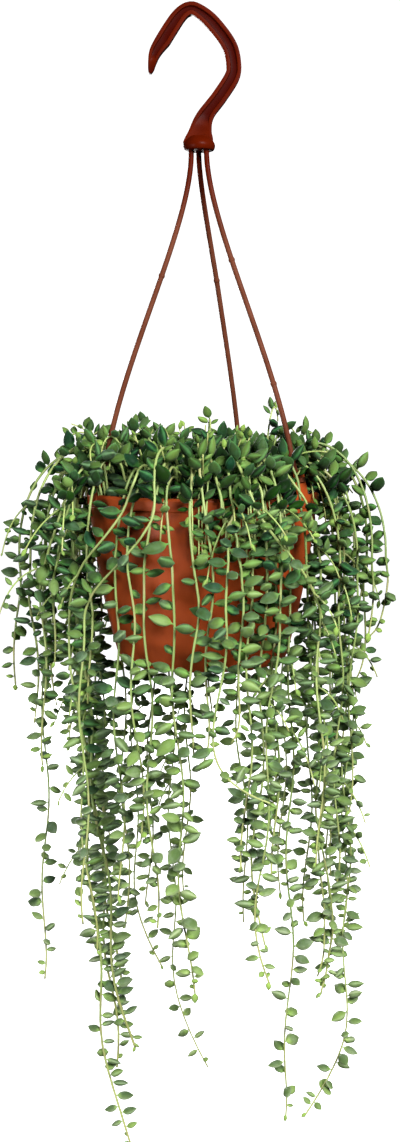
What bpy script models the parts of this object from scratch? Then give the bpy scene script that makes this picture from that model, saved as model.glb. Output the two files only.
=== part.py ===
"""A hanging pot of string of beads: a plastic pot with a moulded hanger, filled with soil,
and a trailing plant whose strands arch over the rim and hang far below it.

The origin is the point inside the hook where it bears on a rail. +Z is up, +X is the
right-hand side and -Y the front. Lengths are in millimetres until a mesh is made.
"""

import math
import random
from collections import namedtuple

import bmesh
import bpy
import numpy as np
from mathutils import Matrix, Vector

MM = 0.001
SEED = 11
GAP = 0.3

# Pot
AXIS_X = 7.0
RIM_Z = -294.8
RIM_RADIUS = 74.5
POT_HEIGHT = 109.0
POT_Z = RIM_Z - POT_HEIGHT
BAND_HEIGHT = 8.0
BAND_STEP = 1.3
BASE_RADIUS = 54.0
SIDE_BULGE = 2.5
WALL = 1.9
FLOOR = 3.0
FOOT_WIDTH = 6.0
FOOT_HEIGHT = 2.5
EDGE = 1.5
LIP = 2.6
POT_SIDES = 32
DRAIN_HOLES = 6
DRAIN_RADIUS = 4.0
DRAIN_CIRCLE = 30.0
SOIL_DEPTH = 12.0
SOIL_TOP = RIM_Z - SOIL_DEPTH
FLOOR_Z = POT_Z + FOOT_HEIGHT + FLOOR
MID_Z = RIM_Z - 0.5 * POT_HEIGHT
SIDE_SHARES = (0.9, 0.62, 0.3)

# Lugs on the rim, and the hanger that clips into them
ARM_AZIMUTHS = (203.0, 67.0, 328.0)
LUG_WIDTH = 11.0
LUG_HEIGHT = 15.0
LUG_THICKNESS = 2.2
LUG_LEAN = math.radians(13.0)
LUG_INNER = RIM_RADIUS - 2.8
SLOT_WIDTH = 6.4
SLOT_HEIGHT = 3.6
SLOT_CENTRE = 9.0

# Hook, collar and arms
HOOK_SEAT_RADIUS = 4.65
HOOK_DEPTH = 6.0
HOOK_ROOT_WIDTH = 15.6
HOOK_TIP_WIDTH = 6.8
RIDGE = 2.3
CHANNEL_DEPTH = 1.4
COLLAR_X = 4.7
COLLAR_RADIUS = 10.2
COLLAR_TOP = -73.0
COLLAR_BOTTOM = -81.6
ARM_RADIUS = 1.7
ARM_START = 5.5
STRAP_WIDTH = 5.4
STRAP_THICKNESS = 2.2
STRAP_TOP = 24.0
STRAP_BOTTOM = 3.0

# Middle of the hook in the XZ plane, from the collar up, over the seat and down to the tip
HOOK_PATH = (
    (4.0, -77.0),
    (8.2, -61.5),
    (17.4, -49.0),
    (25.0, -37.5),
    (26.3, -30.0),
    (23.5, -18.5),
    (14.0, -5.8),
    (5.5, 2.2),
    (-0.3, HOOK_SEAT_RADIUS),
    (-6.2, 1.6),
    (-13.0, -8.0),
    (-20.8, -20.8),
    (-23.0, -28.5),
    (-23.8, -35.5),
)

# One arm as a Bezier curve: distance from the axis and height
ARM_CURVE = ((ARM_START, COLLAR_BOTTOM + 2.0), (3.0, -122.0), (53.0, -208.0))

# Plant
STEM_RADIUS = 1.25
TIP_RADIUS = 0.85
ROOT_DEPTH = 9.0
HOLE_RADIUS = STEM_RADIUS + 2 * GAP
RIM_DROP = 40.0
SLIDE_FALL = 75.0
BEND_POWER = 1.1
FLICK_POWER = 10
SWAY = 10.0
ROUTE_STEP = 6.0
ARCH_STEP = 16.0
HANG_STEP = 58.0
APART = 5.5
SPREAD_PASSES = 40
STEM_CLEARANCE = 4.5
WAVE = 2.6
WAVE_LENGTH = 120.0
LEAF_LENGTH = 13.5
TIP_LEAF_LENGTH = 10.0
LEAF_WIDTH = 0.5
LEAF_SINK = 0.35
LEAF_GAP = 0.45
ARCH_LEAF_SPACING = 26.0
HANG_LEAF_SPACING = 62.0
SHOOT_LEAF_SPACING = 8.5
LEAF_SIDES = 3
STEM_SIDES = 3
GOLDEN_TURN = math.radians(137.5)

# A hanging stem. azimuth is where it hangs, counted from +X towards +Y, root and reach are
# the distances from the pot's axis where it is rooted and where it hangs, arch is its height
# over the rim, tip the height of its lower end. lean moves the tip along X and Y, flick bends
# the last stretch along X, twist turns the root away from the azimuth, and slide turns all of
# the stem above the rim, so that it runs down aslant over the pot's side.
Strand = namedtuple(
    "Strand", "azimuth root reach arch tip lean flick twist slide", defaults=((0, 0), 0, 0, 0)
)

STRANDS = (
    # Left side, with the thick bundle of the longest stems
    Strand(184, 33, 102, 38, -620, (-3, 0), -3, -12),
    Strand(177, 36, 120, 36, -424, (-3, 0), 0, 8),
    Strand(170, 46, 103, 32, -440, (4, -2)),
    Strand(194, 40, 106, 34, -470, (2, 0), 0, 0, 22),
    Strand(188, 42, 111, 34, -444, (2, 0), 0, 10),
    Strand(165, 42, 108, 34, -426, (-2, -2)),
    Strand(187, 57, 84, 28, -735, (21, -6), 13),
    Strand(179, 58, 82, 28, -688, (25, 2), -2),
    Strand(194.5, 56, 85, 28, -664, (30, 3), 5),
    Strand(171, 58, 85, 31, -640, (27, -4)),
    Strand(206, 52, 94, 28, -590, (15, 4), 0, 0, 30),
    Strand(163, 56, 86, 28, -530, (14, -4)),
    # Front left
    Strand(224, 44, 101, 34, -560, (0, 3), 0, 0, 33),
    Strand(214, 56, 86, 28, -425, (2, 3)),
    Strand(201, 44, 100, 32, -400, (-2, 2), 0, 0, 11),
    Strand(232, 56, 86, 28, -545, (3, 2)),
    Strand(241, 46, 88, 32, -505, (5, 4), 0, 0, -4),
    Strand(246, 57, 86, 28, -560, (6, 4)),
    Strand(258, 54, 87, 28, -598, (8, 5), 3),
    Strand(269, 44, 91, 34, -447, (-6, 4), 0, 0, -5),
    Strand(274, 57, 86, 28, -452, (-4, 4), -4),
    Strand(279, 56, 93, 28, -474, (-11, -4), 38),
    Strand(284, 42, 93, 34, -440, (2, 2), -9),
    Strand(290, 57, 86, 28, -520, (-4, 2)),
    # Front right
    Strand(295, 50, 90, 30, -572, (-8, 13), 6),
    Strand(299, 44, 96, 34, -590, (-17, -2), 10),
    Strand(301, 58, 85, 28, -530, (1, 4)),
    Strand(307, 54, 87, 28, -690, (3, 6), -5),
    Strand(313, 44, 103, 32, -520, (2, 4), 0, 0, -20),
    Strand(317, 57, 86, 28, -612, (21, 6), -6),
    Strand(322, 50, 91, 28, -600, (6, 6), -4),
    Strand(337, 50, 93, 28, -560, (1, 4), -4),
    Strand(342, 42, 102, 30, -500, (-4, 2)),
    Strand(347, 54, 92, 30, -713, (9, 2), -28),
    Strand(346, 44, 110, 36, -384, (-3, 0), 0, -10),
    Strand(354, 38, 118, 34, -388, (-3, 0), -6, -10),
    # Right side
    Strand(357, 56, 98, 30, -590, (-5, 0)),
    Strand(4, 36, 108, 34, -425, (-4, 0), -6),
    Strand(10, 54, 88, 28, -555, (2, -2)),
    Strand(18, 44, 97, 32, -640, (-7, -6)),
    Strand(13, 42, 112, 34, -380, (-2, 0)),
    Strand(28, 56, 86, 28, -598, (-4, -5)),
    Strand(38, 44, 94, 34, -470, (0, -3)),
    Strand(47, 56, 86, 28, -585, (-3, -4)),
    Strand(57, 46, 92, 34, -545, (0, -4)),
    # Back
    Strand(77, 54, 86, 28, -615, (16, -4), -4),
    Strand(86, 44, 92, 36, -470, (0, -3)),
    Strand(96, 56, 86, 28, -592, (-3, -4)),
    Strand(105, 50, 88, 28, -727, (1, -6), 24),
    Strand(114, 58, 86, 28, -600, (-4, -4)),
    Strand(122, 44, 92, 36, -645, (0, -8), 17),
    Strand(131, 57, 88, 28, -612, (4, -6)),
    Strand(141, 46, 93, 36, -500, (0, -5)),
    Strand(151, 57, 86, 30, -560, (12, -6)),
)

# Short upright shoots in the middle: azimuth, distance from the axis, outward lean, height
SHOOTS = (
    (15, 14, 12, 48),
    (50, 22, 12, 40),
    (85, 13, 8, 52),
    (120, 23, 12, 43),
    (158, 14, 12, 49),
    (195, 23, 12, 42),
    (230, 13, 10, 51),
    (265, 22, 13, 43),
    (300, 14, 10, 50),
    (335, 23, 12, 40),
)
CREEPER_LIFT = 1.7

# Colours of the parts
TERRACOTTA = (0.36, 0.085, 0.035, 1.0)
RED_BROWN = (0.14, 0.032, 0.016, 1.0)
PEAT = (0.035, 0.022, 0.014, 1.0)
LEAF_GREEN = (0.075, 0.15, 0.07, 1.0)


def clear_scene():
    for old in list(bpy.data.objects):
        bpy.data.objects.remove(old, do_unlink=True)


def material(name, colour, roughness):
    made = bpy.data.materials.new(name)
    made.use_nodes = True
    shader = made.node_tree.nodes["Principled BSDF"]
    shader.inputs["Base Color"].default_value = colour
    shader.inputs["Roughness"].default_value = roughness
    shader.inputs["Metallic"].default_value = 0.0
    return made


def finish_object(name, mesh, finish, smooth_angle=40.0):
    """Links an object of this mesh, shaded smooth up to the given angle."""
    mesh.materials.clear()
    mesh.materials.append(finish)
    mesh.shade_smooth()
    mesh.set_sharp_from_angle(angle=math.radians(smooth_angle))
    made = bpy.data.objects.new(name, mesh)
    bpy.context.scene.collection.objects.link(made)
    return made


def mesh_from(bm, name):
    """Turns a bmesh in millimetres into a mesh in metres."""
    bmesh.ops.recalc_face_normals(bm, faces=bm.faces)
    bmesh.ops.scale(bm, vec=(MM, MM, MM), verts=bm.verts)
    mesh = bpy.data.meshes.new(name)
    bm.to_mesh(mesh)
    bm.free()
    return mesh


def loose_object(bm, name="piece"):
    return bpy.data.objects.new(name, mesh_from(bm, name))


def add_loft(bm, rings):
    """Adds a closed skin through rings of as many points each, with a face at both ends."""
    rows = [[bm.verts.new(point) for point in ring] for ring in rings]
    count = len(rows[0])
    for low, high in zip(rows, rows[1:]):
        for i in range(count):
            j = (i + 1) % count
            bm.faces.new((low[i], low[j], high[j], high[i]))
    bm.faces.new(rows[0][::-1])
    bm.faces.new(rows[-1])


def loft(rings):
    bm = bmesh.new()
    add_loft(bm, rings)
    return bm


def ring_at(centre, normal, radius, sides, across=Vector((0, 0, 1))):
    """A regular ring of points round a centre, square to the normal."""
    first = normal.cross(across)
    if first.length < 1e-3:
        first = normal.cross(Vector((1, 0, 0)))
    first.normalize()
    second = normal.cross(first)
    turns = [2 * math.pi * i / sides for i in range(sides)]
    return [centre + radius * (math.cos(a) * first + math.sin(a) * second) for a in turns]


def carried_rings(points, radii, sides):
    """Rings along a route, each turned from the last so that the tube doesn't twist."""
    points = [Vector(p) for p in points]
    rings = []
    side = None
    for i, point in enumerate(points):
        before = points[max(i - 1, 0)]
        after = points[min(i + 1, len(points) - 1)]
        along = (after - before).normalized()
        if side is None:
            side = along.orthogonal()
        side = (side - side.dot(along) * along).normalized()
        other = along.cross(side)
        turns = [2 * math.pi * k / sides for k in range(sides)]
        radius = float(radii[i])
        rings.append([point + radius * (math.cos(a) * side + math.sin(a) * other) for a in turns])
    return rings


def revolve(profile, sides, centre_x):
    """A closed solid turned from an outline of (radius, height) points round a vertical axis."""
    bm = bmesh.new()
    columns = []
    for i in range(sides):
        turn = 2 * math.pi * i / sides
        columns.append(
            [
                bm.verts.new((centre_x + r * math.cos(turn), r * math.sin(turn), z))
                for r, z in profile
            ]
        )
    for first, second in zip(columns, columns[1:] + columns[:1]):
        for i in range(len(profile) - 1):
            bm.faces.new((first[i], first[i + 1], second[i + 1], second[i]))
    bm.faces.new([column[0] for column in columns])
    bm.faces.new([column[-1] for column in columns])
    return bm


def box(centre, turn, size):
    """A box with its sides along a turned frame."""
    bm = bmesh.new()
    bmesh.ops.create_cube(bm, size=1.0)
    place = Matrix.Translation(centre) @ turn.to_4x4() @ Matrix.Diagonal((*size, 1.0))
    bmesh.ops.transform(bm, matrix=place, verts=bm.verts)
    return bm


def combined(base, pieces, operation, solver="EXACT"):
    """The mesh of a base object with a whole collection of pieces joined to it or cut from it."""
    group = bpy.data.collections.new("pieces")
    bpy.context.scene.collection.children.link(group)
    bpy.context.scene.collection.objects.link(base)
    for piece in pieces:
        group.objects.link(piece)
    change = base.modifiers.new("combine", "BOOLEAN")
    change.operation = operation
    change.operand_type = "COLLECTION"
    change.collection = group
    change.solver = solver
    bpy.context.view_layer.update()
    graph = bpy.context.evaluated_depsgraph_get()
    mesh = bpy.data.meshes.new_from_object(base.evaluated_get(graph))
    for piece in [base, *pieces]:
        bpy.data.objects.remove(piece, do_unlink=True)
    bpy.data.collections.remove(group)
    return mesh


def bezier(points, t):
    a, b, c, d = (np.array(p, float) for p in points)
    return (1 - t) ** 3 * a + 3 * t * (1 - t) ** 2 * b + 3 * t * t * (1 - t) * c + t**3 * d


def smooth_route(points, count):
    """A Catmull-Rom curve through the points, read at evenly spaced places."""
    points = [np.array(p, float) for p in points]
    points = [2 * points[0] - points[1], *points, 2 * points[-1] - points[-2]]
    fine = []
    for p0, p1, p2, p3 in zip(points, points[1:], points[2:], points[3:]):
        for t in np.linspace(0, 1, 12, endpoint=False):
            fine.append(
                0.5
                * (
                    2 * p1
                    + (p2 - p0) * t
                    + (2 * p0 - 5 * p1 + 4 * p2 - p3) * t * t
                    + (3 * p1 - p0 - 3 * p2 + p3) * t**3
                )
            )
    fine.append(points[-2])
    return resampled(np.array(fine), count)


def resampled(points, count):
    """The same route with this many points, evenly spaced along it."""
    steps = np.linalg.norm(np.diff(points, axis=0), axis=1)
    run = np.concatenate([[0.0], np.cumsum(steps)])
    places = np.linspace(0, run[-1], count)
    return np.stack([np.interp(places, run, column) for column in points.T], axis=1)


def smoothstep(x):
    x = np.clip(x, 0.0, 1.0)
    return x * x * (3 - 2 * x)


def pot_radius(z):
    """The outer radius of the pot's side, which bulges a little between the band and the base."""
    share = (RIM_Z - BAND_HEIGHT - z) / (POT_HEIGHT - BAND_HEIGHT)
    share = min(max(share, 0.0), 1.0)
    top = RIM_RADIUS - BAND_STEP
    straight = top + (BASE_RADIUS - top) * share
    return straight + SIDE_BULGE * 4 * share * (1 - share)


def inner_radius(z):
    return pot_radius(z) - WALL


def around(azimuth, radius, z, centre_x=AXIS_X):
    turn = math.radians(azimuth)
    return Vector((centre_x + radius * math.cos(turn), radius * math.sin(turn), z))


def pot_outline():
    """Outside from the foot up to the rim, then the inside down to the floor."""
    foot = BASE_RADIUS - FOOT_WIDTH
    band_z = RIM_Z - BAND_HEIGHT
    outline = [
        (foot - EDGE, POT_Z + FOOT_HEIGHT),
        (foot, POT_Z),
        (BASE_RADIUS - EDGE, POT_Z),
        (BASE_RADIUS, POT_Z + EDGE),
    ]
    for share in SIDE_SHARES:
        z = band_z - share * (POT_HEIGHT - BAND_HEIGHT)
        outline.append((pot_radius(z), z))
    outline += [
        (pot_radius(band_z), band_z),
        (RIM_RADIUS - EDGE / 3, band_z),
        (RIM_RADIUS, RIM_Z - EDGE),
        (RIM_RADIUS - EDGE / 2, RIM_Z),
        (RIM_RADIUS - LIP, RIM_Z),
    ]
    outline += [(inner_radius(z), z) for z in (RIM_Z - EDGE, SOIL_TOP, MID_Z, FLOOR_Z)]
    return outline


def lug_frame(azimuth):
    """Axes of a lug as a matrix: across it, through it outwards, and up along it."""
    turn = math.radians(azimuth)
    outward = Vector((math.cos(turn), math.sin(turn), 0.0))
    across = Vector((-math.sin(turn), math.cos(turn), 0.0))
    up = (math.cos(LUG_LEAN) * Vector((0, 0, 1)) - math.sin(LUG_LEAN) * outward).normalized()
    through = across.cross(up)
    return Matrix((across, through, up)).transposed()


def lug_point(azimuth, up, through):
    """A point this far up a lug from the rim and this far outwards from its inner face."""
    frame = lug_frame(azimuth)
    foot = around(azimuth, LUG_INNER, RIM_Z)
    return foot + up * frame.col[2] + through * frame.col[1]


def lug(azimuth):
    """A tab with rounded top corners, rooted in the rim and leaning in."""
    frame = lug_frame(azimuth)
    half = LUG_WIDTH / 2
    corner = 3.0
    outline = [(-half - 1.0, -5.0), (half + 1.0, -5.0), (half, 2.0)]
    outline += [(half, LUG_HEIGHT - corner), (half - corner, LUG_HEIGHT)]
    outline += [(corner - half, LUG_HEIGHT), (-half, LUG_HEIGHT - corner), (-half, 2.0)]
    rings = []
    for through in (0.0, LUG_THICKNESS):
        rings.append([lug_point(azimuth, up, through) + across * frame.col[0] for across, up in outline])
    return loft(rings)


def slot_cutter(azimuth):
    centre = lug_point(azimuth, SLOT_CENTRE, LUG_THICKNESS / 2)
    return box(centre, lug_frame(azimuth), (SLOT_WIDTH, 4 * LUG_THICKNESS, SLOT_HEIGHT))


def drain_cutter(index):
    turn = 360.0 * (index + 0.5) / DRAIN_HOLES
    centre = around(turn, DRAIN_CIRCLE, POT_Z)
    up = Vector((0, 0, 1))
    rings = [ring_at(centre + up * z, up, DRAIN_RADIUS, 8, Vector((1, 0, 0))) for z in (-5.0, 15.0)]
    return loft(rings)


def make_pot(finish):
    body = loose_object(revolve(pot_outline(), POT_SIDES, AXIS_X))
    lugs = [loose_object(lug(azimuth)) for azimuth in ARM_AZIMUTHS]
    whole = bpy.data.objects.new("whole", combined(body, lugs, "UNION"))
    cutters = [loose_object(slot_cutter(azimuth)) for azimuth in ARM_AZIMUTHS]
    cutters += [loose_object(drain_cutter(i)) for i in range(DRAIN_HOLES)]
    return finish_object("pot", combined(whole, cutters, "DIFFERENCE"), finish)


def hook_section(half_width, fade):
    """The hook's cross-section as (across, depth): a bar with a channel down both faces."""
    deep = HOOK_DEPTH / 2
    floor = deep - CHANNEL_DEPTH * max(fade, 0.02)
    inner = half_width - RIDGE
    front = [(half_width, -deep), (half_width, deep), (inner, deep), (inner, floor)]
    back = [(-inner, floor), (-inner, deep), (-half_width, deep), (-half_width, -deep)]
    return front + back + [(-inner, -deep), (-inner, -floor), (inner, -floor), (inner, -deep)]


def hook_rings():
    count = 22
    route = smooth_route(HOOK_PATH, count)
    rings = []
    for i, (x, z) in enumerate(route):
        before = route[max(i - 1, 0)]
        after = route[min(i + 1, count - 1)]
        along = Vector((after[0] - before[0], after[1] - before[1])).normalized()
        across = Vector((along.y, -along.x))
        share = i / (count - 1)
        root = 1 - smoothstep(share / 0.14)
        tip = smoothstep((share - 0.93) / 0.07)
        half = HOOK_SEAT_RADIUS + root * (HOOK_ROOT_WIDTH / 2 - HOOK_SEAT_RADIUS)
        half += tip * (HOOK_TIP_WIDTH / 2 - HOOK_SEAT_RADIUS)
        fade = smoothstep((share - 0.07) / 0.07) * (1 - smoothstep((share - 0.86) / 0.06))
        section = hook_section(half, float(fade))
        rings.append([Vector((x + u * across.x, v, z + u * across.y)) for u, v in section])
    return rings


def collar():
    edge = 1.8
    outline = (
        (COLLAR_RADIUS - edge, COLLAR_BOTTOM),
        (COLLAR_RADIUS, COLLAR_BOTTOM + edge),
        (COLLAR_RADIUS, COLLAR_TOP - edge),
        (COLLAR_RADIUS - edge, COLLAR_TOP),
    )
    return revolve(outline, 20, COLLAR_X)


def strap_middle(up):
    """The strap's middle, clear of the lug's inner face, as distance and height."""
    back = LUG_INNER - GAP - STRAP_THICKNESS / 2
    return back - math.sin(LUG_LEAN) * up, RIM_Z + math.cos(LUG_LEAN) * up


def arm_route(azimuth, count=10):
    """The middle of one arm, from the collar to the top of its strap."""
    curve = (*ARM_CURVE, strap_middle(STRAP_TOP))
    points = []
    for t in np.linspace(0, 1, count):
        radius, z = bezier(curve, t)
        points.append(around(azimuth, radius, z, COLLAR_X + (AXIS_X - COLLAR_X) * t))
    return points


def arm(azimuth):
    route = arm_route(azimuth)
    return loft(carried_rings(route, [ARM_RADIUS] * len(route), 6))


def strap(azimuth):
    """The flat end of an arm, inside its lug."""
    frame = lug_frame(azimuth)
    rings = []
    for up, narrow in ((STRAP_TOP + 3.0, 0.62), (STRAP_TOP - 5.0, 1.0), (STRAP_BOTTOM, 1.0)):
        radius, z = strap_middle(up)
        centre = around(azimuth, radius, z)
        across = frame.col[0] * STRAP_WIDTH / 2 * narrow
        through = frame.col[1] * STRAP_THICKNESS / 2
        rings.append(
            [
                centre - across - through,
                centre + across - through,
                centre + across + through,
                centre - across + through,
            ]
        )
    return loft(rings)


def peg(azimuth):
    """The snap peg that goes through the lug's slot."""
    length = LUG_THICKNESS + GAP + 3.4
    centre = lug_point(azimuth, SLOT_CENTRE, LUG_THICKNESS + 1.6 - length / 2)
    size = (SLOT_WIDTH - 2 * GAP, length, SLOT_HEIGHT - 2 * GAP)
    return box(centre, lug_frame(azimuth), size)


def make_hanger(finish):
    hook = loose_object(loft(hook_rings()))
    pieces = [loose_object(collar())]
    for azimuth in ARM_AZIMUTHS:
        pieces += [loose_object(shape(azimuth)) for shape in (arm, strap, peg)]
    return finish_object("hanger", combined(hook, pieces, "UNION"), finish)


def slide_left(z):
    """How much of a stem's slide is left at this height: all at the rim, none further down."""
    return float(1 - smoothstep((RIM_Z - z) / SLIDE_FALL))


def strand_route(strand, draw):
    """A stem's points, close together: up out of the soil, over the rim and down to the tip."""
    rise = strand.arch * draw.uniform(0.86, 1.12)
    sway = draw.uniform(SWAY, -SWAY)
    curve = (
        (strand.root, SOIL_TOP + 2.0),
        (strand.root + 2.0, RIM_Z + 1.35 * rise),
        (strand.reach, RIM_Z + 1.15 * rise),
        (strand.reach, RIM_Z - RIM_DROP),
    )
    points = []
    for t in np.linspace(0, 1, 24):
        radius, z = bezier(curve, t)
        slide = strand.slide * (slide_left(z) if t > 0.5 else 1.0)
        azimuth = strand.azimuth + slide + strand.twist * (1 - smoothstep(t))
        points.append(around(azimuth + sway * math.sin(math.pi * t), radius, z))
    top = points[-1].z
    fall = top - strand.tip
    phases = [draw.uniform(0, 2 * math.pi) for _ in range(2)]
    waves = max(fall / WAVE_LENGTH, 0.4)
    for share in np.linspace(0, 1, 30)[1:]:
        z = top - fall * share
        point = around(strand.azimuth + strand.slide * slide_left(z), strand.reach, z)
        bend = share**BEND_POWER
        swell = WAVE * smoothstep(share * 3)
        wobble = [swell * math.sin(2 * math.pi * waves * share + phase) for phase in phases]
        point.x += strand.lean[0] * bend + strand.flick * share**FLICK_POWER + wobble[0]
        point.y += strand.lean[1] * bend + wobble[1]
        points.append(point)
    points = np.array(points)
    length = np.linalg.norm(np.diff(points, axis=0), axis=1).sum()
    return resampled(points, int(length / ROUTE_STEP) + 2)


def close_pairs(points, owner, within):
    """Pairs of points on different stems that are this near to each other."""
    pairs = []
    for i in range(len(points) - 1):
        offset = points[i + 1 :] - points[i]
        near = (offset * offset).sum(axis=1) < within * within
        near &= owner[i + 1 :] != owner[i]
        for j in np.flatnonzero(near):
            pairs.append((i, i + 1 + j))
    return np.array(pairs).T


def wall_radius(z):
    """How far a hanging stem keeps from the pot's axis at this height."""
    if z > RIM_Z + 4 or z < POT_Z - 4:
        return 0.0
    if z > RIM_Z - BAND_HEIGHT - 4:
        return RIM_RADIUS + STEM_CLEARANCE
    return pot_radius(z) + STEM_CLEARANCE


def spread(routes):
    """Bends stems sideways until they are APART from each other and clear of the pot."""
    owner = np.concatenate([np.full(len(route), i) for i, route in enumerate(routes)])
    points = np.concatenate(routes)
    loose = np.concatenate([smoothstep(np.arange(len(route)) / 6.0) for route in routes])
    walls = np.array([wall_radius(z) for z in points[:, 2]])
    for turn in range(SPREAD_PASSES):
        if turn % 10 == 0:
            first, second = close_pairs(points, owner, 3 * APART)
        offset = points[first] - points[second]
        distance = np.linalg.norm(offset, axis=1) + 1e-6
        flat = offset[:, :2] / (np.linalg.norm(offset[:, :2], axis=1) + 1e-3)[:, None]
        move = flat * (0.5 * np.maximum(APART - distance, 0.0))[:, None]
        push = np.zeros((len(points), 2))
        np.add.at(push, first, move)
        np.add.at(push, second, -move)
        inner = owner[1:-1] == owner[:-2]
        inner &= owner[1:-1] == owner[2:]
        soft = (push[:-2] + 2 * push[1:-1] + push[2:]) / 4
        push[1:-1][inner] = soft[inner]
        points[:, :2] += push * loose[:, None]
        radial = points[:, :2] - (AXIS_X, 0.0)
        radius = np.linalg.norm(radial, axis=1)
        near = (radius < walls) & (radius > RIM_RADIUS - 10) & (loose >= 1)
        points[near, :2] += (radial * ((walls - radius) / radius)[:, None])[near]
    return [points[owner == i] for i in range(len(routes))]


def thinned(route):
    """Fewer points along a stem: closer where it arches over the rim than where it hangs."""
    steps = np.linalg.norm(np.diff(route, axis=0), axis=1)
    run = np.concatenate([[0.0], np.cumsum(steps)])
    hang = run[np.argmax(route[:, 2] < RIM_Z - 0.6 * RIM_DROP)]
    arch_count = max(int(round(hang / ARCH_STEP)), 3)
    hang_count = max(int(round((run[-1] - hang) / HANG_STEP)), 1)
    places = np.concatenate(
        [np.linspace(0, hang, arch_count + 1), np.linspace(hang, run[-1], hang_count + 1)[1:]]
    )
    return np.stack([np.interp(places, run, column) for column in route.T], axis=1)


def rooted(route):
    """The route with a straight root below it, which stands in the soil's hole."""
    first = route[0]
    return np.concatenate([[[first[0], first[1], SOIL_TOP - ROOT_DEPTH]], route])


def stem_radii(route):
    steps = np.linalg.norm(np.diff(route, axis=0), axis=1)
    run = np.concatenate([[0.0], np.cumsum(steps)])
    share = run / run[-1]
    return STEM_RADIUS + (TIP_RADIUS - STEM_RADIUS) * share


class Room:
    """The space already taken, as balls that belong to a piece, to keep new leaves clear of."""

    def __init__(self):
        self.centres = np.zeros((0, 3))
        self.radii = np.zeros(0)
        self.owners = np.zeros(0, int)

    def take(self, centres, radii, owner):
        self.centres = np.concatenate([self.centres, centres])
        self.radii = np.concatenate([self.radii, radii])
        self.owners = np.concatenate([self.owners, np.full(len(centres), owner)])

    def is_free(self, centres, radii, owner):
        """Whether these balls clear everything but the stem that they grow on."""
        distance = np.linalg.norm(centres[:, None, :] - self.centres[None, :, :], axis=2)
        clear = distance - radii[:, None] - self.radii[None, :] > LEAF_GAP
        return bool((clear | (self.owners == owner)[None, :]).all())


def leaf_balls(root, tip, width):
    """Balls that fill a leaf, smaller towards its tip."""
    shares = np.array([0.28, 0.45, 0.62, 0.82, 1.0])
    radii = width / 2 * np.array([0.72, 1.0, 0.78, 0.42, 0.08])
    return root + (tip - root) * shares[:, None], radii


def in_the_open(centres, radii):
    """Whether leaf balls clear the pot and the soil."""
    for (x, y, z), radius in zip(centres, radii):
        reach = math.hypot(x - AXIS_X, y)
        margin = radius + LEAF_GAP
        if POT_Z - margin < z < RIM_Z + margin:
            wall = RIM_RADIUS if z > RIM_Z - BAND_HEIGHT - margin else pot_radius(z)
            outside = reach > wall + margin
            inside = reach < inner_radius(SOIL_TOP) - margin and z > SOIL_TOP + margin
            if not (outside or inside):
                return False
    return True


def leaf(root, tip, width):
    """A pointed bead-like leaf with few sides, its root sunk in the stem."""
    along = (tip - root).normalized()
    middle = root + (tip - root) * 0.48
    bm = bmesh.new()
    ring = [bm.verts.new(p) for p in ring_at(middle, along, width / 2, LEAF_SIDES)]
    ends = [bm.verts.new(root - along * LEAF_SINK), bm.verts.new(tip)]
    for i in range(LEAF_SIDES):
        j = (i + 1) % LEAF_SIDES
        bm.faces.new((ring[j], ring[i], ends[0]))
        bm.faces.new((ring[i], ring[j], ends[1]))
    return bm


def leaf_places(route, arch_spacing, hang_spacing):
    """Where leaves grow on a stem: points with the stem's direction and the share of its length."""
    steps = np.linalg.norm(np.diff(route, axis=0), axis=1)
    run = np.concatenate([[0.0], np.cumsum(steps)])
    place = ROOT_DEPTH + 9.0
    while place < run[-1] - 1.0:
        point = np.array([np.interp(place, run, column) for column in route.T])
        index = min(np.searchsorted(run, place), len(route) - 1)
        along = Vector(route[index] - route[index - 1]).normalized()
        yield point, along, place / run[-1]
        place += arch_spacing if point[2] > RIM_Z - RIM_DROP else hang_spacing
    yield route[-1] - np.array(along) * 1.0, along, 1.0


def leaf_direction(along, turn, lift):
    """Straight out from the stem at this turn round it, lifted a little."""
    side = along.orthogonal().normalized()
    other = along.cross(side)
    out = math.cos(turn) * side + math.sin(turn) * other
    return (out + Vector((0, 0, lift))).normalized()


def grown_leaves(route, owner, room, draw, arch_spacing, hang_spacing):
    """The leaves of one stem, each turned until it is clear of what is there already."""
    made = []
    turn = draw.uniform(0, 2 * math.pi)
    for point, along, share in leaf_places(route, arch_spacing, hang_spacing):
        turn += GOLDEN_TURN
        low = float(smoothstep((RIM_Z - RIM_DROP - point[2]) / 250.0))
        length = LEAF_LENGTH + (TIP_LEAF_LENGTH - LEAF_LENGTH) * low
        length *= draw.uniform(0.92, 1.08)
        lift = 0.7 if point[2] > RIM_Z - 5 else 0.1
        for attempt in range(10):
            way = leaf_direction(along, turn + attempt * 0.63, lift)
            if share == 1.0 and attempt == 0:
                way = (along * 0.8 + way * 0.5).normalized()
            root = Vector(point)
            tip = root + way * length
            centres, radii = leaf_balls(np.array(root), np.array(tip), length * LEAF_WIDTH)
            if in_the_open(centres, radii) and room.is_free(centres, radii, owner):
                room.take(centres, radii, -1 - len(room.owners))
                made.append(loose_object(leaf(root, tip, length * LEAF_WIDTH), "leaf"))
                break
    return made


def stem_balls(route, radii):
    """Balls along a stem, close enough to leave no gap."""
    steps = np.linalg.norm(np.diff(route, axis=0), axis=1)
    run = np.concatenate([[0.0], np.cumsum(steps)])
    places = np.arange(0, run[-1], 2.5)
    centres = np.stack([np.interp(places, run, column) for column in route.T], axis=1)
    return centres, np.interp(places, run, radii)


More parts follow.
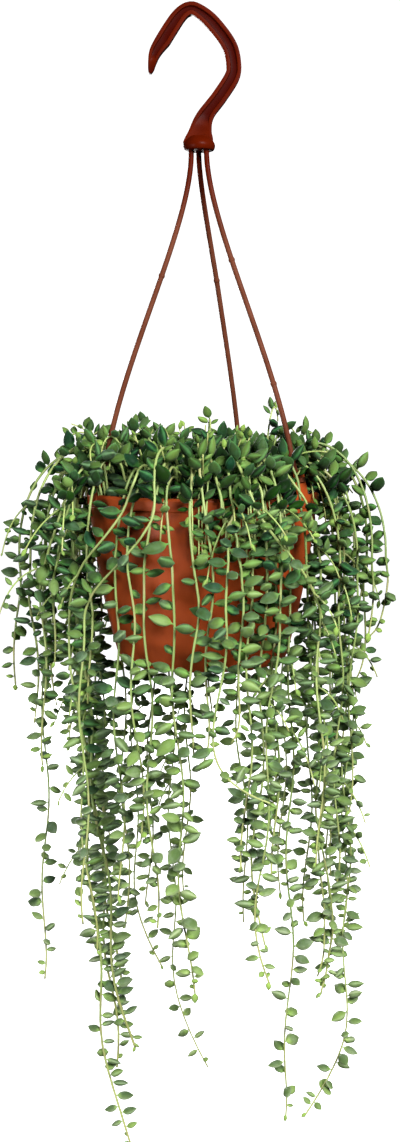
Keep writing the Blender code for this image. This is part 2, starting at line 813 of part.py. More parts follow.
def hanger_room(room):
    """Takes the space of the arms, straps and lugs."""
    for azimuth in ARM_AZIMUTHS:
        route = np.array(arm_route(azimuth, 60))
        room.take(route, np.full(len(route), ARM_RADIUS + 0.4), -1)
        for up in range(0, int(STRAP_TOP) + 4, 2):
            centre = np.array([lug_point(azimuth, up, 0.0)])
            room.take(centre, np.array([4.2 if up > LUG_HEIGHT + 2 else LUG_WIDTH / 2 + 0.8]), -1)


def make_strand(index, route, room, draw, finish):
    radii = stem_radii(route)
    stem = loose_object(loft(carried_rings(route, radii, STEM_SIDES)), "stem")
    leaves = grown_leaves(route, index, room, draw, ARCH_LEAF_SPACING, HANG_LEAF_SPACING)
    mesh = combined(stem, leaves, "UNION", "MANIFOLD")
    return finish_object(f"strand_{index + 1:02d}", mesh, finish, 30.0)


def shoot_route(azimuth, base, lean, height):
    """A short shoot that rises from the soil and bends outwards."""
    points = []
    for t in np.linspace(0, 1, 5):
        points.append(around(azimuth, base + lean * t * t, SOIL_TOP + 2 + height * t))
    return rooted(np.array(points))


def creeper_route():
    """The stem that lies on the soil and ties the upright shoots together."""
    return [around(azimuth, base, SOIL_TOP + CREEPER_LIFT) for azimuth, base, _, _ in SHOOTS]


def make_crown(room, draw, finish):
    owner = len(STRANDS)
    creeper = creeper_route()
    stem = loose_object(loft(carried_rings(creeper, [STEM_RADIUS] * len(creeper), 4)), "stem")
    pieces = []
    routes = [shoot_route(*shoot) for shoot in SHOOTS]
    for route in routes:
        pieces.append(loose_object(loft(carried_rings(route, stem_radii(route), STEM_SIDES)), "shoot"))
        room.take(*stem_balls(route, stem_radii(route)), owner)
    for route in routes:
        pieces += grown_leaves(route, owner, room, draw, SHOOT_LEAF_SPACING, SHOOT_LEAF_SPACING)
    return finish_object("crown", combined(stem, pieces, "UNION", "MANIFOLD"), finish, 30.0)


def make_soil(roots, finish):
    """The soil that fills the pot, with a plain hole for each root."""
    outline = [(inner_radius(z) - GAP, z) for z in (FLOOR_Z + GAP, MID_Z, SOIL_TOP)]
    block = loose_object(revolve(outline, POT_SIDES, AXIS_X))
    holes = []
    for x, y, _ in roots:
        ends = [(x, y, SOIL_TOP - ROOT_DEPTH - 1.0), (x, y, SOIL_TOP + 4.0)]
        rings = carried_rings(ends, [HOLE_RADIUS] * 2, STEM_SIDES)
        holes.append(loose_object(loft(rings), "hole"))
    return finish_object("soil", combined(block, holes, "DIFFERENCE"), finish)


def make_plant(finish):
    """All stems with their leaves. Returns where they are rooted."""
    draw = random.Random(SEED)
    routes = spread([strand_route(strand, draw) for strand in STRANDS])
    routes = [rooted(thinned(route)) for route in routes]
    room = Room()
    hanger_room(room)
    for index, route in enumerate(routes):
        room.take(*stem_balls(route, stem_radii(route)), index)
    for index, route in enumerate(routes):
        make_strand(index, route, room, draw, finish)
    make_crown(room, draw, finish)
    shoots = [shoot_route(*shoot)[0] for shoot in SHOOTS]
    return [route[0] for route in routes] + shoots


def main():
    clear_scene()
    pot_finish = material("pot_plastic", TERRACOTTA, 0.45)
    hanger_finish = material("hanger_plastic", RED_BROWN, 0.35)
    soil_finish = material("peat", PEAT, 0.95)
    leaf_finish = material("leaf", LEAF_GREEN, 0.5)
    make_pot(pot_finish)
    make_hanger(hanger_finish)
    roots = make_plant(leaf_finish)
    make_soil(roots, soil_finish)


main()
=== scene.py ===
"""The looks of a hanging pot of string of beads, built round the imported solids.

Lengths are in millimetres until a mesh is made. The plant's stems follow the same table, routes
and random draws as the solids, and here carry all their leaves.
"""

import math
import random
from collections import namedtuple

import bmesh
import bpy
import numpy as np
from mathutils import Matrix, Vector, noise


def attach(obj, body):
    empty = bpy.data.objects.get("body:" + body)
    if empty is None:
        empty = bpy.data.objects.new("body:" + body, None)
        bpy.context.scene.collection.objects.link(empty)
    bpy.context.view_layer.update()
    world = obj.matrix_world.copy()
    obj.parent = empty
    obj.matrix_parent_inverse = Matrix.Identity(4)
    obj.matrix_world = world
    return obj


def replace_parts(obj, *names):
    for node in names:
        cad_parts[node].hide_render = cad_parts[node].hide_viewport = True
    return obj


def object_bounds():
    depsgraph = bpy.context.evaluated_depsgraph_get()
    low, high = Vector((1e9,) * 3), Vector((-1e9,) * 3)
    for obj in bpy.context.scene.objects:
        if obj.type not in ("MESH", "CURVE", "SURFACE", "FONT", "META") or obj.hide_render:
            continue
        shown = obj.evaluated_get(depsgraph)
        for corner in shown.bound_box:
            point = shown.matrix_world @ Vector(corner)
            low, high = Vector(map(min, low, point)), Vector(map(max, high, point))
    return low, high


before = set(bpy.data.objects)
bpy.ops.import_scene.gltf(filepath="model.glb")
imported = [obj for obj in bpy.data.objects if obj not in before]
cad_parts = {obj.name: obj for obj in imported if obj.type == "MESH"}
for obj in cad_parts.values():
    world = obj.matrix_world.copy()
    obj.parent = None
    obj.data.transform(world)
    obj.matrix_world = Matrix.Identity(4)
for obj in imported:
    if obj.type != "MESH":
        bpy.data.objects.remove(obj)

CAD_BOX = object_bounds()

MM = 0.001
SEED = 11
GAP = 0.3
UP = Vector((0, 0, 1))

# Pot
AXIS_X = 7.0
RIM_Z = -294.8
RIM_RADIUS = 74.5
POT_HEIGHT = 109.0
POT_Z = RIM_Z - POT_HEIGHT
BAND_HEIGHT = 8.0
BAND_STEP = 1.3
BASE_RADIUS = 54.0
SIDE_BULGE = 2.5
WALL = 1.9
FLOOR = 3.0
FOOT_WIDTH = 6.0
FOOT_HEIGHT = 2.5
EDGE = 1.5
LIP = 2.6
DRAIN_HOLES = 6
DRAIN_RADIUS = 4.0
DRAIN_CIRCLE = 30.0
SOIL_DEPTH = 12.0
SOIL_TOP = RIM_Z - SOIL_DEPTH
SOIL_SIDES = 96
FLOOR_Z = POT_Z + FOOT_HEIGHT + FLOOR
POT_SIDES = 128

# Lugs on the rim, and the hanger that clips into them
ARM_AZIMUTHS = (203.0, 67.0, 328.0)
LUG_WIDTH = 11.0
LUG_HEIGHT = 15.0
LUG_THICKNESS = 2.2
LUG_LEAN = math.radians(13.0)
LUG_INNER = RIM_RADIUS - 2.8
LUG_CORNER = 3.0
LUG_FOOT = 5.0
LUG_SPREAD = 1.0
LUG_BEVEL = 0.35
SLOT_WIDTH = 6.4
SLOT_HEIGHT = 3.6
SLOT_CENTRE = 9.0

# Hook, collar and arms
HOOK_SEAT_RADIUS = 4.65
HOOK_DEPTH = 6.0
HOOK_ROOT_WIDTH = 15.6
HOOK_TIP_WIDTH = 6.8
HOOK_FLARE = 1.6
HOOK_CREST = 1.7
HOOK_POINT = 0.52
HOOK_POINT_INSET = 0.35
HOOK_THINNING = 0.35
NOSE_LEAST = 0.12
HOOK_RINGS = 90
HOOK_BEVEL = 0.55
# Stretches of the hook where its form changes: share of its length at the start, and length
ROOT_PART = (0.0, 0.16)
FLARE_PART = (0.0, 0.055)
LEVEL_PART = (0.0, 0.09)
CHANNEL_IN = (0.07, 0.05)
CHANNEL_OUT = (0.915, 0.035)
CREST_PART = (0.67, 0.07)
SLIM_PART = (0.855, 0.145)
TIP_PART = (0.90, 0.10)
THIN_PART = (0.93, 0.07)
NOSE_PART = (0.975, 0.025)
# Heights between which the arms' colour turns from the hook's dark to a paler one further down
ARM_DARK_Z = -84.0
ARM_PALE_Z = -150.0
RIDGE = 2.3
CHANNEL_DEPTH = 1.4
COLLAR_X = 4.7
COLLAR_RADIUS = 10.2
COLLAR_TOP = -73.0
COLLAR_BOTTOM = -81.6
COLLAR_SIDES = 48
ARM_RADIUS = 1.7
ARM_START = 5.5
ARM_RINGS = 64
ARM_SIDES = 14
BACK_ARM_SHIFT = -2.4
STRAP_WIDTH = 5.4
STRAP_THICKNESS = 2.2
STRAP_TOP = 24.0
STRAP_BOTTOM = 3.0
STRAP_BEVEL = 0.4
PEG_BEVEL = 0.35
HOOK_PATH = (
    (4.0, -77.0), (8.2, -61.5), (17.4, -49.0), (25.0, -37.5), (26.3, -30.0), (23.5, -18.5),
    (14.0, -5.8), (5.5, 2.2), (-0.3, HOOK_SEAT_RADIUS), (-6.2, 1.6), (-13.0, -8.0),
    (-20.8, -20.8), (-23.0, -28.5), (-23.8, -35.5),
)
ARM_CURVE = ((ARM_START, COLLAR_BOTTOM + 2.0), (3.0, -122.0), (53.0, -208.0))
# Moulding pips on the arms: azimuth of the arm and share of its length
PIPS = ((203.0, 0.47), (203.0, 0.93), (67.0, 0.47), (328.0, 0.42), (328.0, 0.78))

# Plant
RIM_DROP = 40.0
SLIDE_FALL = 75.0
BEND_POWER = 1.1
FLICK_POWER = 10
SWAY = 10.0
ARCH_STEPS = 24
HANG_STEPS = 30
ROUTE_STEP = 6.0
ROOT_DEPTH = 10.0
APART = 5.5
SPREAD_PASSES = 40
PAIRS_EVERY = 10
STEM_CLEARANCE = 4.5
WAVE = 2.6
WAVE_LENGTH = 120.0
STEM_STEP = 3.0
# Heights at which a stem has its tip's, its low and its full radius
STEM_HEIGHTS = (POT_Z - 300.0, POT_Z - 10.0, RIM_Z)
STEM_RADIUS = 0.84
LOW_RADIUS = 0.72
TIP_RADIUS = 0.58
KNOBBLE = 0.06
BUNDLE_THICKER = 1.35
BRANCH_RADIUS = 0.6
BRANCH_TIP_RADIUS = 0.46
STEM_SIDES = 6
LEAF_SIDES = 6
LEAF_THICKNESS = 0.68
LEAF_LENGTH = 13.8
LOW_LEAF_LENGTH = 12.2
LENGTH_FALL = 260.0
LEAF_WIDTH = (0.50, 0.66)
LEAF_SPACING = (5.4, 7.0)
# Margins to what is there, where below zero is an overlap, and how often a place is tried
LEAF_OVERLAP = -0.9
STEM_OVERLAP = -0.6
LEAF_TRIES = 7
BRANCH_TRIES = 5
# First leaf of a strand, of a crown stem and of a side shoot
FIRST_LEAF = 16.0
CROWN_FIRST_LEAF = 18.0
BRANCH_FIRST_LEAF = 6.0
# Strands with fewer leaves than the rest, and their spacing: all along, or only beside the pot
SPARSE = {1: 9.0, 2: 10.5, 5: 7.5, 13: 9.0, 35: 11.0, 36: 9.0, 38: 12.0, 41: 9.5}
SPARSE.update({48: 8.5, 49: 8.5, 50: 9.0, 51: 9.0, 52: 9.0, 53: 8.0, 54: 8.0, 47: 8.0, 46: 7.5})
SPARSE_ABOVE = {14: 7.0, 16: 7.5, 17: 10.0, 18: 15.0, 19: 13.0, 20: 15.0, 21: 6.5, 24: 6.5}
BELOW_SPACING = 6.4
# Strands that grow no side shoots, in front of the pot and at the edges
UNBRANCHED = (1, 2, 5, 13, 14, 16, 17, 18, 19, 20, 21, 33, 35, 36, 38)
# Sides of strands that stay bare, such as the front of the bundle that shows its stems: the
# side's direction, how far leaves may turn towards it, and down to which height
BUNDLE = (7, 8, 9, 10)
WHOLE_LENGTH = -900.0
BARE_SIDES = dict.fromkeys((*BUNDLE, 11), (Vector((0, -1, 0)), 0.3, WHOLE_LENGTH))
BARE_SIDES[13] = (Vector((1, 0, 0)), 0.0, WHOLE_LENGTH)
BARE_SIDES[19] = (Vector((1, 0, 0)), -0.3, POT_Z)
# Strands with longer leaves
LONGER = {19: 1.2, 16: 1.1, 17: 1.1}
# Ranges of what is drawn for each leaf: its length and spacing as shares of the usual, lift on
# the mound and below it, turn round the stem, roll and bend
LENGTH_RANGE = (0.68, 1.12, 1.0)
SPACING_RANGE = (0.55, 1.45)
HIGH_LIFT = (-0.1, 1.1)
LOW_LIFT = (-0.65, 0.6, 0.0)
TURN_RANGE = (0.2, 2.8)
ROLL_RANGE = (-0.8, 0.8)
BEND_RANGE = (-0.10, 0.13)
# Chance that a leaf stands opposite the last, and how much further round each new try is
SIDE_CHANGE = 0.8
TRY_TURN = 0.8
# The young part of a stem, how small its last leaves are, and how young others may look
YOUNG_LENGTH = 30.0
YOUNG_SHARE = 0.3
YOUNGEST = 0.42
YOUNG_LOOKS = (0.0, 0.0, 0.1, 0.3)
# Leaves this near to the end of a stem point along it
END_LEAVES = 4.0
# Part of the tint's range that stands for painted shade, on leaves in the shade of others
SHADED = 0.3
# How much lighter the tint is painted lower down as painted light, over which fall, and its random
# spread
LOW_TINT = 0.70
TINT_FALL = 310.0
TINT_RANGE = (-0.16, 0.26)
# The mound, deep in which leaves get painted shade: its top over the rim, its fall outwards, its
# radius, and the depth over which the painted shade grows
MOUND_TOP = 40.0
MOUND_FALL = 22.0
MOUND_RADIUS = 90.0
MOUND_DEPTH = 20.0

# A hanging stem. azimuth is where it hangs, counted from +X towards +Y, root and reach are
# the distances from the pot's axis where it is rooted and where it hangs, arch is its height
# over the rim, tip the height of its lower end. lean moves the tip along X and Y, flick bends
# the last stretch along X, twist turns the root away from the azimuth, and slide turns all of
# the stem above the rim, so that it runs down aslant over the pot's side.
Strand = namedtuple(
    "Strand", "azimuth root reach arch tip lean flick twist slide", defaults=((0, 0), 0, 0, 0)
)

STRAND_ROWS = (
    # Left side, with the thick bundle of the longest stems
    (184, 33, 102, 38, -620, (-3, 0), -3, -12),
    (177, 36, 120, 36, -424, (-3, 0), 0, 8),
    (170, 46, 103, 32, -440, (4, -2)),
    (194, 40, 106, 34, -470, (2, 0), 0, 0, 22),
    (188, 42, 111, 34, -444, (2, 0), 0, 10),
    (165, 42, 108, 34, -426, (-2, -2)),
    (187, 57, 84, 28, -735, (21, -6), 13),
    (179, 58, 82, 28, -688, (25, 2), -2),
    (194.5, 56, 85, 28, -664, (30, 3), 5),
    (171, 58, 85, 31, -640, (27, -4)),
    (206, 52, 94, 28, -590, (15, 4), 0, 0, 30),
    (163, 56, 86, 28, -530, (14, -4)),
    # Front left
    (224, 44, 101, 34, -560, (0, 3), 0, 0, 33),
    (214, 56, 86, 28, -425, (2, 3)),
    (201, 44, 100, 32, -400, (-2, 2), 0, 0, 11),
    (232, 56, 86, 28, -545, (3, 2)),
    (241, 46, 88, 32, -505, (5, 4), 0, 0, -4),
    (246, 57, 86, 28, -560, (6, 4)),
    (258, 54, 87, 28, -598, (8, 5), 3),
    (269, 44, 91, 34, -447, (-6, 4), 0, 0, -5),
    (274, 57, 86, 28, -452, (-4, 4), -4),
    (279, 56, 93, 28, -474, (-11, -4), 38),
    (284, 42, 93, 34, -440, (2, 2), -9),
    (290, 57, 86, 28, -520, (-4, 2)),
    # Front right
    (295, 50, 90, 30, -572, (-8, 13), 6),
    (299, 44, 96, 34, -590, (-17, -2), 10),
    (301, 58, 85, 28, -530, (1, 4)),
    (307, 54, 87, 28, -690, (3, 6), -5),
    (313, 44, 103, 32, -520, (2, 4), 0, 0, -20),
    (317, 57, 86, 28, -612, (21, 6), -6),
    (322, 50, 91, 28, -600, (6, 6), -4),
    (337, 50, 93, 28, -560, (1, 4), -4),
    (342, 42, 102, 30, -500, (-4, 2)),
    (347, 54, 92, 30, -713, (9, 2), -28),
    (346, 44, 110, 36, -384, (-3, 0), 0, -10),
    (354, 38, 118, 34, -388, (-3, 0), -6, -10),
    # Right side
    (357, 56, 98, 30, -590, (-5, 0)),
    (4, 36, 108, 34, -425, (-4, 0), -6),
    (10, 54, 88, 28, -555, (2, -2)),
    (18, 44, 97, 32, -640, (-7, -6)),
    (13, 42, 112, 34, -380, (-2, 0)),
    (28, 56, 86, 28, -598, (-4, -5)),
    (38, 44, 94, 34, -470, (0, -3)),
    (47, 56, 86, 28, -585, (-3, -4)),
    (57, 46, 92, 34, -545, (0, -4)),
    # Back
    (77, 54, 86, 28, -615, (16, -4), -4),
    (86, 44, 92, 36, -470, (0, -3)),
    (96, 56, 86, 28, -592, (-3, -4)),
    (105, 50, 88, 28, -727, (1, -6), 24),
    (114, 58, 86, 28, -600, (-4, -4)),
    (122, 44, 92, 36, -645, (0, -8), 17),
    (131, 57, 88, 28, -612, (4, -6)),
    (141, 46, 93, 36, -500, (0, -5)),
    (151, 57, 86, 30, -560, (12, -6)),
)
STRANDS = [Strand(*row) for row in STRAND_ROWS]

# Short upright shoots in the middle: azimuth, distance from the axis, outward lean, height
SHOOTS = (
    (15, 14, 12, 48), (50, 22, 12, 40), (85, 13, 8, 52), (120, 23, 12, 43), (158, 14, 12, 49),
    (195, 23, 12, 42), (230, 13, 10, 51), (265, 22, 13, 43), (300, 14, 10, 50), (335, 23, 12, 40),
)

# Lone sprigs that stand out of the mound: azimuth, base, reach, rise over the soil, drop, sway
SPRIGS = (
    (34, 50, 64, 58, 2, 4), (26, 46, 66, 48, 6, -8), (8, 52, 80, 44, 3, 6),
    (352, 50, 84, 38, 2, 0), (176, 54, 90, 45, 6, 0), (168, 50, 74, 45, 4, 8),
    (140, 48, 62, 48, 4, 0), (205, 50, 70, 44, 8, 0), (285, 12, 20, 52, 3, 0),
)

# Young side shoots at the edges of the plant: strand, place along it, length and droop
EDGE_SHOOTS = (
    (36, 100, 62, 2.3), (36, 128, 40, 1.8), (38, 108, 46, 2.0), (41, 112, 44, 1.6),
    (2, 104, 48, 1.8), (5, 120, 46, 2.0), (6, 112, 44, 1.8), (4, 150, 44, 1.9),
)

# Fat beads that lie in a hollow behind the rim: azimuth, distance, height over the soil, turn
BEADS = (
    (209, 60, 12, 190), (215, 64, 13, 250), (221, 60, 12, 310), (211, 52, 17, 215),
    (218, 51, 19, 275), (205, 54, 20, 160), (225, 65, 12, 330), (226, 53, 17, 20),
    (211, 75, 20, 250), (212, 74, 29, 215), (209, 76, 25, 280), (213, 73, 36, 300),
)
BEAD_LENGTH = 14.5
BEAD_WIDTH = 10.5
BEAD_TINT = 0.46

# Gaps between the leaves, where the hollow, a lug or the pot shows from the front: azimuth,
# distance, height over the rim, size, length of the gap towards the front
CLEARINGS = (
    (214, 60, 9, 9.5, 36),
    (324, 80, 4, 9.5, 42),
    (316, 82, -34, 8, 30),
    (318, 80, -60, 7, 30),
    (261, 80, -34, 7, 26),
    (261, 80, -58, 7, 26),
    (245, 80, -20, 6, 26),
)
GAP_STEP = 7.0
GAP_RISE = 0.12
# How far past the solids' box a leaf may reach
BOX_MARGIN = 2

GOLDEN_TURN = math.radians(137.5)
INNER_SHOOTS = 40
INNER_SPRAYS = 60
# Sprays at the rim, all round and in front: how many, where they start and over how many
# degrees, then the ranges of base, reach, rise and drop below the soil, and the sway
RIM_SPRAYS = (
    (44, 256.0, 300.0, (50, 66), (80, 90), (22, 34), (-4, 20), 9),
    (18, 262.0, 58.0, (56, 68), (81, 88), (18, 28), (8, 26), 5),
)

# How side shoots grow: ranges of length, droop and lift, spacing and size of their leaves, and
# how far round the stem they may start. The table of edge shoots gives theirs length and droop.
Branching = namedtuple("Branching", "length droop lift spacing scale turn")
HIGH_BRANCHES = Branching((18, 40), (0.4, 1.4), (0.1, 0.9), 7.0, 0.9, 1.7)
LOW_BRANCHES = Branching((16, 40), (0.8, 1.8), (-0.6, 0.2), 6.0, 0.72, 1.7)
EDGE_BRANCHES = Branching(None, None, (0.0, 0.4), 5.6, 0.55, 0.6)
HIGH_BRANCH_COUNT = 4
LOW_BRANCH_STEP = 70
BRANCHED_FROM = 120

# Share of the leaf's length, and half its width as a share of the widest
LEAF_PROFILE = (
    (0.0, 0.15), (0.09, 0.13), (0.15, 0.40), (0.23, 0.72), (0.34, 0.93), (0.47, 1.0),
    (0.61, 0.94), (0.74, 0.74), (0.85, 0.46), (0.94, 0.19),
)
# Balls that stand for a leaf when room is sought: share of its length, and of its width
LEAF_BALLS = ((0.3, 0.75), (0.5, 1.0), (0.7, 0.7), (0.9, 0.25))

# Stage, in metres
FLOOR_HEIGHT = -0.80
ROOM_TOP = 4.0
ROOM_RADIUS = 5.0
CAMERA_PLACE = (0.0053, -0.9, -0.23475)
CAMERA_DOWN = math.radians(7.1)
CAMERA_LENS = 43.98
SENSOR = 36.0
WORLD_LIGHT = 0.05
# Each lamp's name, place, the point that it faces, size and watts
LAMPS = (
    ("key", (0.68, -1.30, 0.50), (0, 0, -0.42), 0.80, 75.0),
    ("fill", (-1.2, -1.2, -0.5), (0, 0, -0.45), 0.8, 27.0),
    ("back", (-0.5, 1.7, -0.2), (0, 0, -0.45), 1.0, 34.0),
)


# Mesh helpers


def linked(name, data):
    """A new object of this data, in the scene."""
    made = bpy.data.objects.new(name, data)
    bpy.context.scene.collection.objects.link(made)
    return made


def full_turn(count):
    """Angles evenly spaced all round."""
    return [2 * math.pi * i / count for i in range(count)]


def smoothed(made, angle=35.0):
    """Smooth all over but for the edges that are sharper than this."""
    made.data.shade_smooth()
    made.data.set_sharp_from_angle(angle=math.radians(angle))
    return made


def object_of(bm, name, finish=None, smooth_angle=35.0):
    """Turns a bmesh in millimetres into a linked object in metres."""
    bmesh.ops.recalc_face_normals(bm, faces=bm.faces)
    bmesh.ops.scale(bm, vec=(MM, MM, MM), verts=bm.verts)
    mesh = bpy.data.meshes.new(name)
    bm.to_mesh(mesh)
    bm.free()
    if finish:
        mesh.materials.append(finish)
    return smoothed(linked(name, mesh), smooth_angle)


def applied(made):
    """Applies every modifier of an object."""
    graph = bpy.context.evaluated_depsgraph_get()
    mesh = bpy.data.meshes.new_from_object(made.evaluated_get(graph))
    made.modifiers.clear()
    made.data = mesh
    return made


def bevelled(made, width, segments=2, angle=30.0):
    bevel = made.modifiers.new("edges", "BEVEL")
    bevel.width = width * MM
    bevel.segments = segments
    bevel.limit_method = "ANGLE"
    bevel.angle_limit = math.radians(angle)
    return applied(made)


def combined(base, pieces, operation):
    """Joins or cuts a base object with a whole collection of pieces, which are then removed."""
    group = bpy.data.collections.new("pieces")
    bpy.context.scene.collection.children.link(group)
    for piece in pieces:
        group.objects.link(piece)
    change = base.modifiers.new("combine", "BOOLEAN")
    change.operation = operation
    change.operand_type = "COLLECTION"
    change.collection = group
    change.solver = "EXACT"
    bpy.context.view_layer.update()
    applied(base)
    for piece in pieces:
        bpy.data.objects.remove(piece, do_unlink=True)
    bpy.data.collections.remove(group)


def loft(rings):
    """A closed solid through rings that all have the same number of points."""
    bm = bmesh.new()
    rows = [[bm.verts.new(point) for point in ring] for ring in rings]
    count = len(rows[0])
    for low, high in zip(rows, rows[1:]):
        for i in range(count):
            j = (i + 1) % count
            bm.faces.new((low[i], low[j], high[j], high[i]))
    bm.faces.new(rows[0][::-1])
    bm.faces.new(rows[-1])
    return bm


def tube_faces(rows, sides):
    """Faces between rings of points that follow each other, with the first ring closed."""
    faces = [tuple(range(sides))[::-1]]
    for row in range(rows - 1):
        a = row * sides
        b = a + sides
        for k in range(sides):
            j = (k + 1) % sides
            faces.append((a + k, a + j, b + j, b + k))
    return faces


def carried_rings(points, radii, sides):
    """Rings along a route, each turned from the last so that the tube doesn't twist."""
    points = [Vector(p) for p in points]
    rings = []
    side = None
    for i, point in enumerate(points):
        before = points[max(i - 1, 0)]
        after = points[min(i + 1, len(points) - 1)]
        along = (after - before).normalized()
        if side is None:
            side = along.orthogonal()
        side = (side - side.dot(along) * along).normalized()
        other = along.cross(side)
        radius = float(radii[i])
        ways = [math.cos(turn) * side + math.sin(turn) * other for turn in full_turn(sides)]
        rings.append([point + radius * way for way in ways])
    return rings


def revolve(profile, sides, centre_x=0.0):
    """A closed solid turned from an outline of (radius, height) points round a vertical axis."""
    bm = bmesh.new()
    columns = []
    for turn in full_turn(sides):
        column = [(centre_x + r * math.cos(turn), r * math.sin(turn), z) for r, z in profile]
        columns.append([bm.verts.new(point) for point in column])
    for first, second in zip(columns, columns[1:] + columns[:1]):
        for i in range(len(profile) - 1):
            bm.faces.new((first[i], first[i + 1], second[i + 1], second[i]))
    bm.faces.new([column[0] for column in columns])
    bm.faces.new([column[-1] for column in columns])
    return bm


def box(centre, turn, size):
    bm = bmesh.new()
    bmesh.ops.create_cube(bm, size=1.0)
    place = Matrix.Translation(centre) @ turn.to_4x4() @ Matrix.Diagonal((*size, 1.0))
    bmesh.ops.transform(bm, matrix=place, verts=bm.verts)
    return bm


def bezier(points, t):
    a, b, c, d = (np.array(p, float) for p in points)
    return (1 - t) ** 3 * a + 3 * t * (1 - t) ** 2 * b + 3 * t * t * (1 - t) * c + t**3 * d


def smooth_route(points, count):
    """A Catmull-Rom curve through the points, read at evenly spaced places."""
    points = [np.array(p, float) for p in points]
    points = [2 * points[0] - points[1], *points, 2 * points[-1] - points[-2]]
    fine = []
    for p0, p1, p2, p3 in zip(points, points[1:], points[2:], points[3:]):
        for t in np.linspace(0, 1, 12, endpoint=False):
            curved = 2 * p1 + (p2 - p0) * t + (2 * p0 - 5 * p1 + 4 * p2 - p3) * t * t
            fine.append(0.5 * (curved + (3 * p1 - p0 - 3 * p2 + p3) * t**3))
    fine.append(points[-2])
    return resampled(np.array(fine), count)


def run_lengths(points):
    steps = np.linalg.norm(np.diff(points, axis=0), axis=1)
    return np.concatenate([[0.0], np.cumsum(steps)])


def read_at(route, run, places):
    """The point, or points, at these distances along a route."""
    return np.stack([np.interp(places, run, column) for column in route.T], axis=-1)


def resampled(points, count):
    """The same route with this many points, evenly spaced along it."""
    run = run_lengths(points)
    return read_at(points, run, np.linspace(0, run[-1], count))


def smoothstep(x):
    x = np.clip(x, 0.0, 1.0)
    return x * x * (3 - 2 * x)


# Pot and hanger shapes


def pot_radius(z):
    share = (RIM_Z - BAND_HEIGHT - z) / (POT_HEIGHT - BAND_HEIGHT)
    share = min(max(share, 0.0), 1.0)
    top = RIM_RADIUS - BAND_STEP
    straight = top + (BASE_RADIUS - top) * share
    return straight + SIDE_BULGE * 4 * share * (1 - share)


def inner_radius(z):
    return pot_radius(z) - WALL


def around(azimuth, radius, z, centre_x=AXIS_X):
    turn = math.radians(azimuth)
    return Vector((centre_x + radius * math.cos(turn), radius * math.sin(turn), z))


def rounded(corners, steps=4):
    """An outline of (radius, height, size) corners, each rounded by its own size."""
    points = [np.array(corner[:2], float) for corner in corners]
    sizes = [corner[2] for corner in corners]
    made = [points[0]]
    for before, corner, after, size in zip(points, points[1:], points[2:], sizes[1:]):
        if size <= 0:
            made.append(corner)
            continue
        ends = []
        for side in (before - corner, after - corner):
            length = np.linalg.norm(side)
            ends.append(corner + side / length * min(size, 0.45 * length))
        for t in np.linspace(0, 1, steps + 1):
            made.append((1 - t) ** 2 * ends[0] + 2 * t * (1 - t) * corner + t * t * ends[1])
    made.append(points[-1])
    return [tuple(map(float, p)) for p in made]


def pot_outline():
    """Outside from the foot up to the rim, then the inside down to the floor."""
    foot = BASE_RADIUS - FOOT_WIDTH
    band_z = RIM_Z - BAND_HEIGHT
    corners = [
        (foot - EDGE, POT_Z + FOOT_HEIGHT, 0),
        (foot, POT_Z, 0.5),
        (BASE_RADIUS - EDGE, POT_Z, 0.6),
        (BASE_RADIUS, POT_Z + EDGE, 0.6),
    ]
    for share in np.linspace(0.96, 0.04, 16):
        z = band_z - share * (POT_HEIGHT - BAND_HEIGHT)
        corners.append((pot_radius(z), z, 0))
    corners += [
        (pot_radius(band_z), band_z, 0.5),
        (RIM_RADIUS - EDGE / 3, band_z, 0.4),
        (RIM_RADIUS, RIM_Z - EDGE, 0.6),
        (RIM_RADIUS - EDGE / 2, RIM_Z, 0.6),
        (RIM_RADIUS - LIP, RIM_Z, 0.5),
    ]
    corners += [(inner_radius(z), z, 0) for z in np.linspace(RIM_Z - EDGE, FLOOR_Z, 8)]
    return rounded(corners)


def lug_frame(azimuth):
    """Axes of a lug as a matrix: across it, through it outwards, and up along it."""
    turn = math.radians(azimuth)
    outward = Vector((math.cos(turn), math.sin(turn), 0.0))
    across = Vector((-math.sin(turn), math.cos(turn), 0.0))
    up = (math.cos(LUG_LEAN) * UP - math.sin(LUG_LEAN) * outward).normalized()
    return Matrix((across, across.cross(up), up)).transposed()


def lug_point(azimuth, up, through):
    axes = lug_frame(azimuth)
    return around(azimuth, LUG_INNER, RIM_Z) + up * axes.col[2] + through * axes.col[1]


def lug(azimuth):
    """A tab with rounded top corners, rooted in the rim and leaning in."""
    axes = lug_frame(azimuth)
    half = LUG_WIDTH / 2
    outline = [(-half - LUG_SPREAD, -LUG_FOOT), (half + LUG_SPREAD, -LUG_FOOT), (half, 2.0)]
    for middle, start in ((half - LUG_CORNER, 0), (LUG_CORNER - half, 90)):
        for step in range(6):
            turn = math.radians(start + 18 * step)
            rise = LUG_HEIGHT - LUG_CORNER + LUG_CORNER * math.sin(turn)
            outline.append((middle + LUG_CORNER * math.cos(turn), rise))
    outline.append((-half, 2.0))
    rings = []
    for through in (0.0, LUG_THICKNESS):
        ring = [lug_point(azimuth, up, through) + across * axes.col[0] for across, up in outline]
        rings.append(ring)
    return bevelled(object_of(loft(rings), "lug"), LUG_BEVEL, 2, 50)


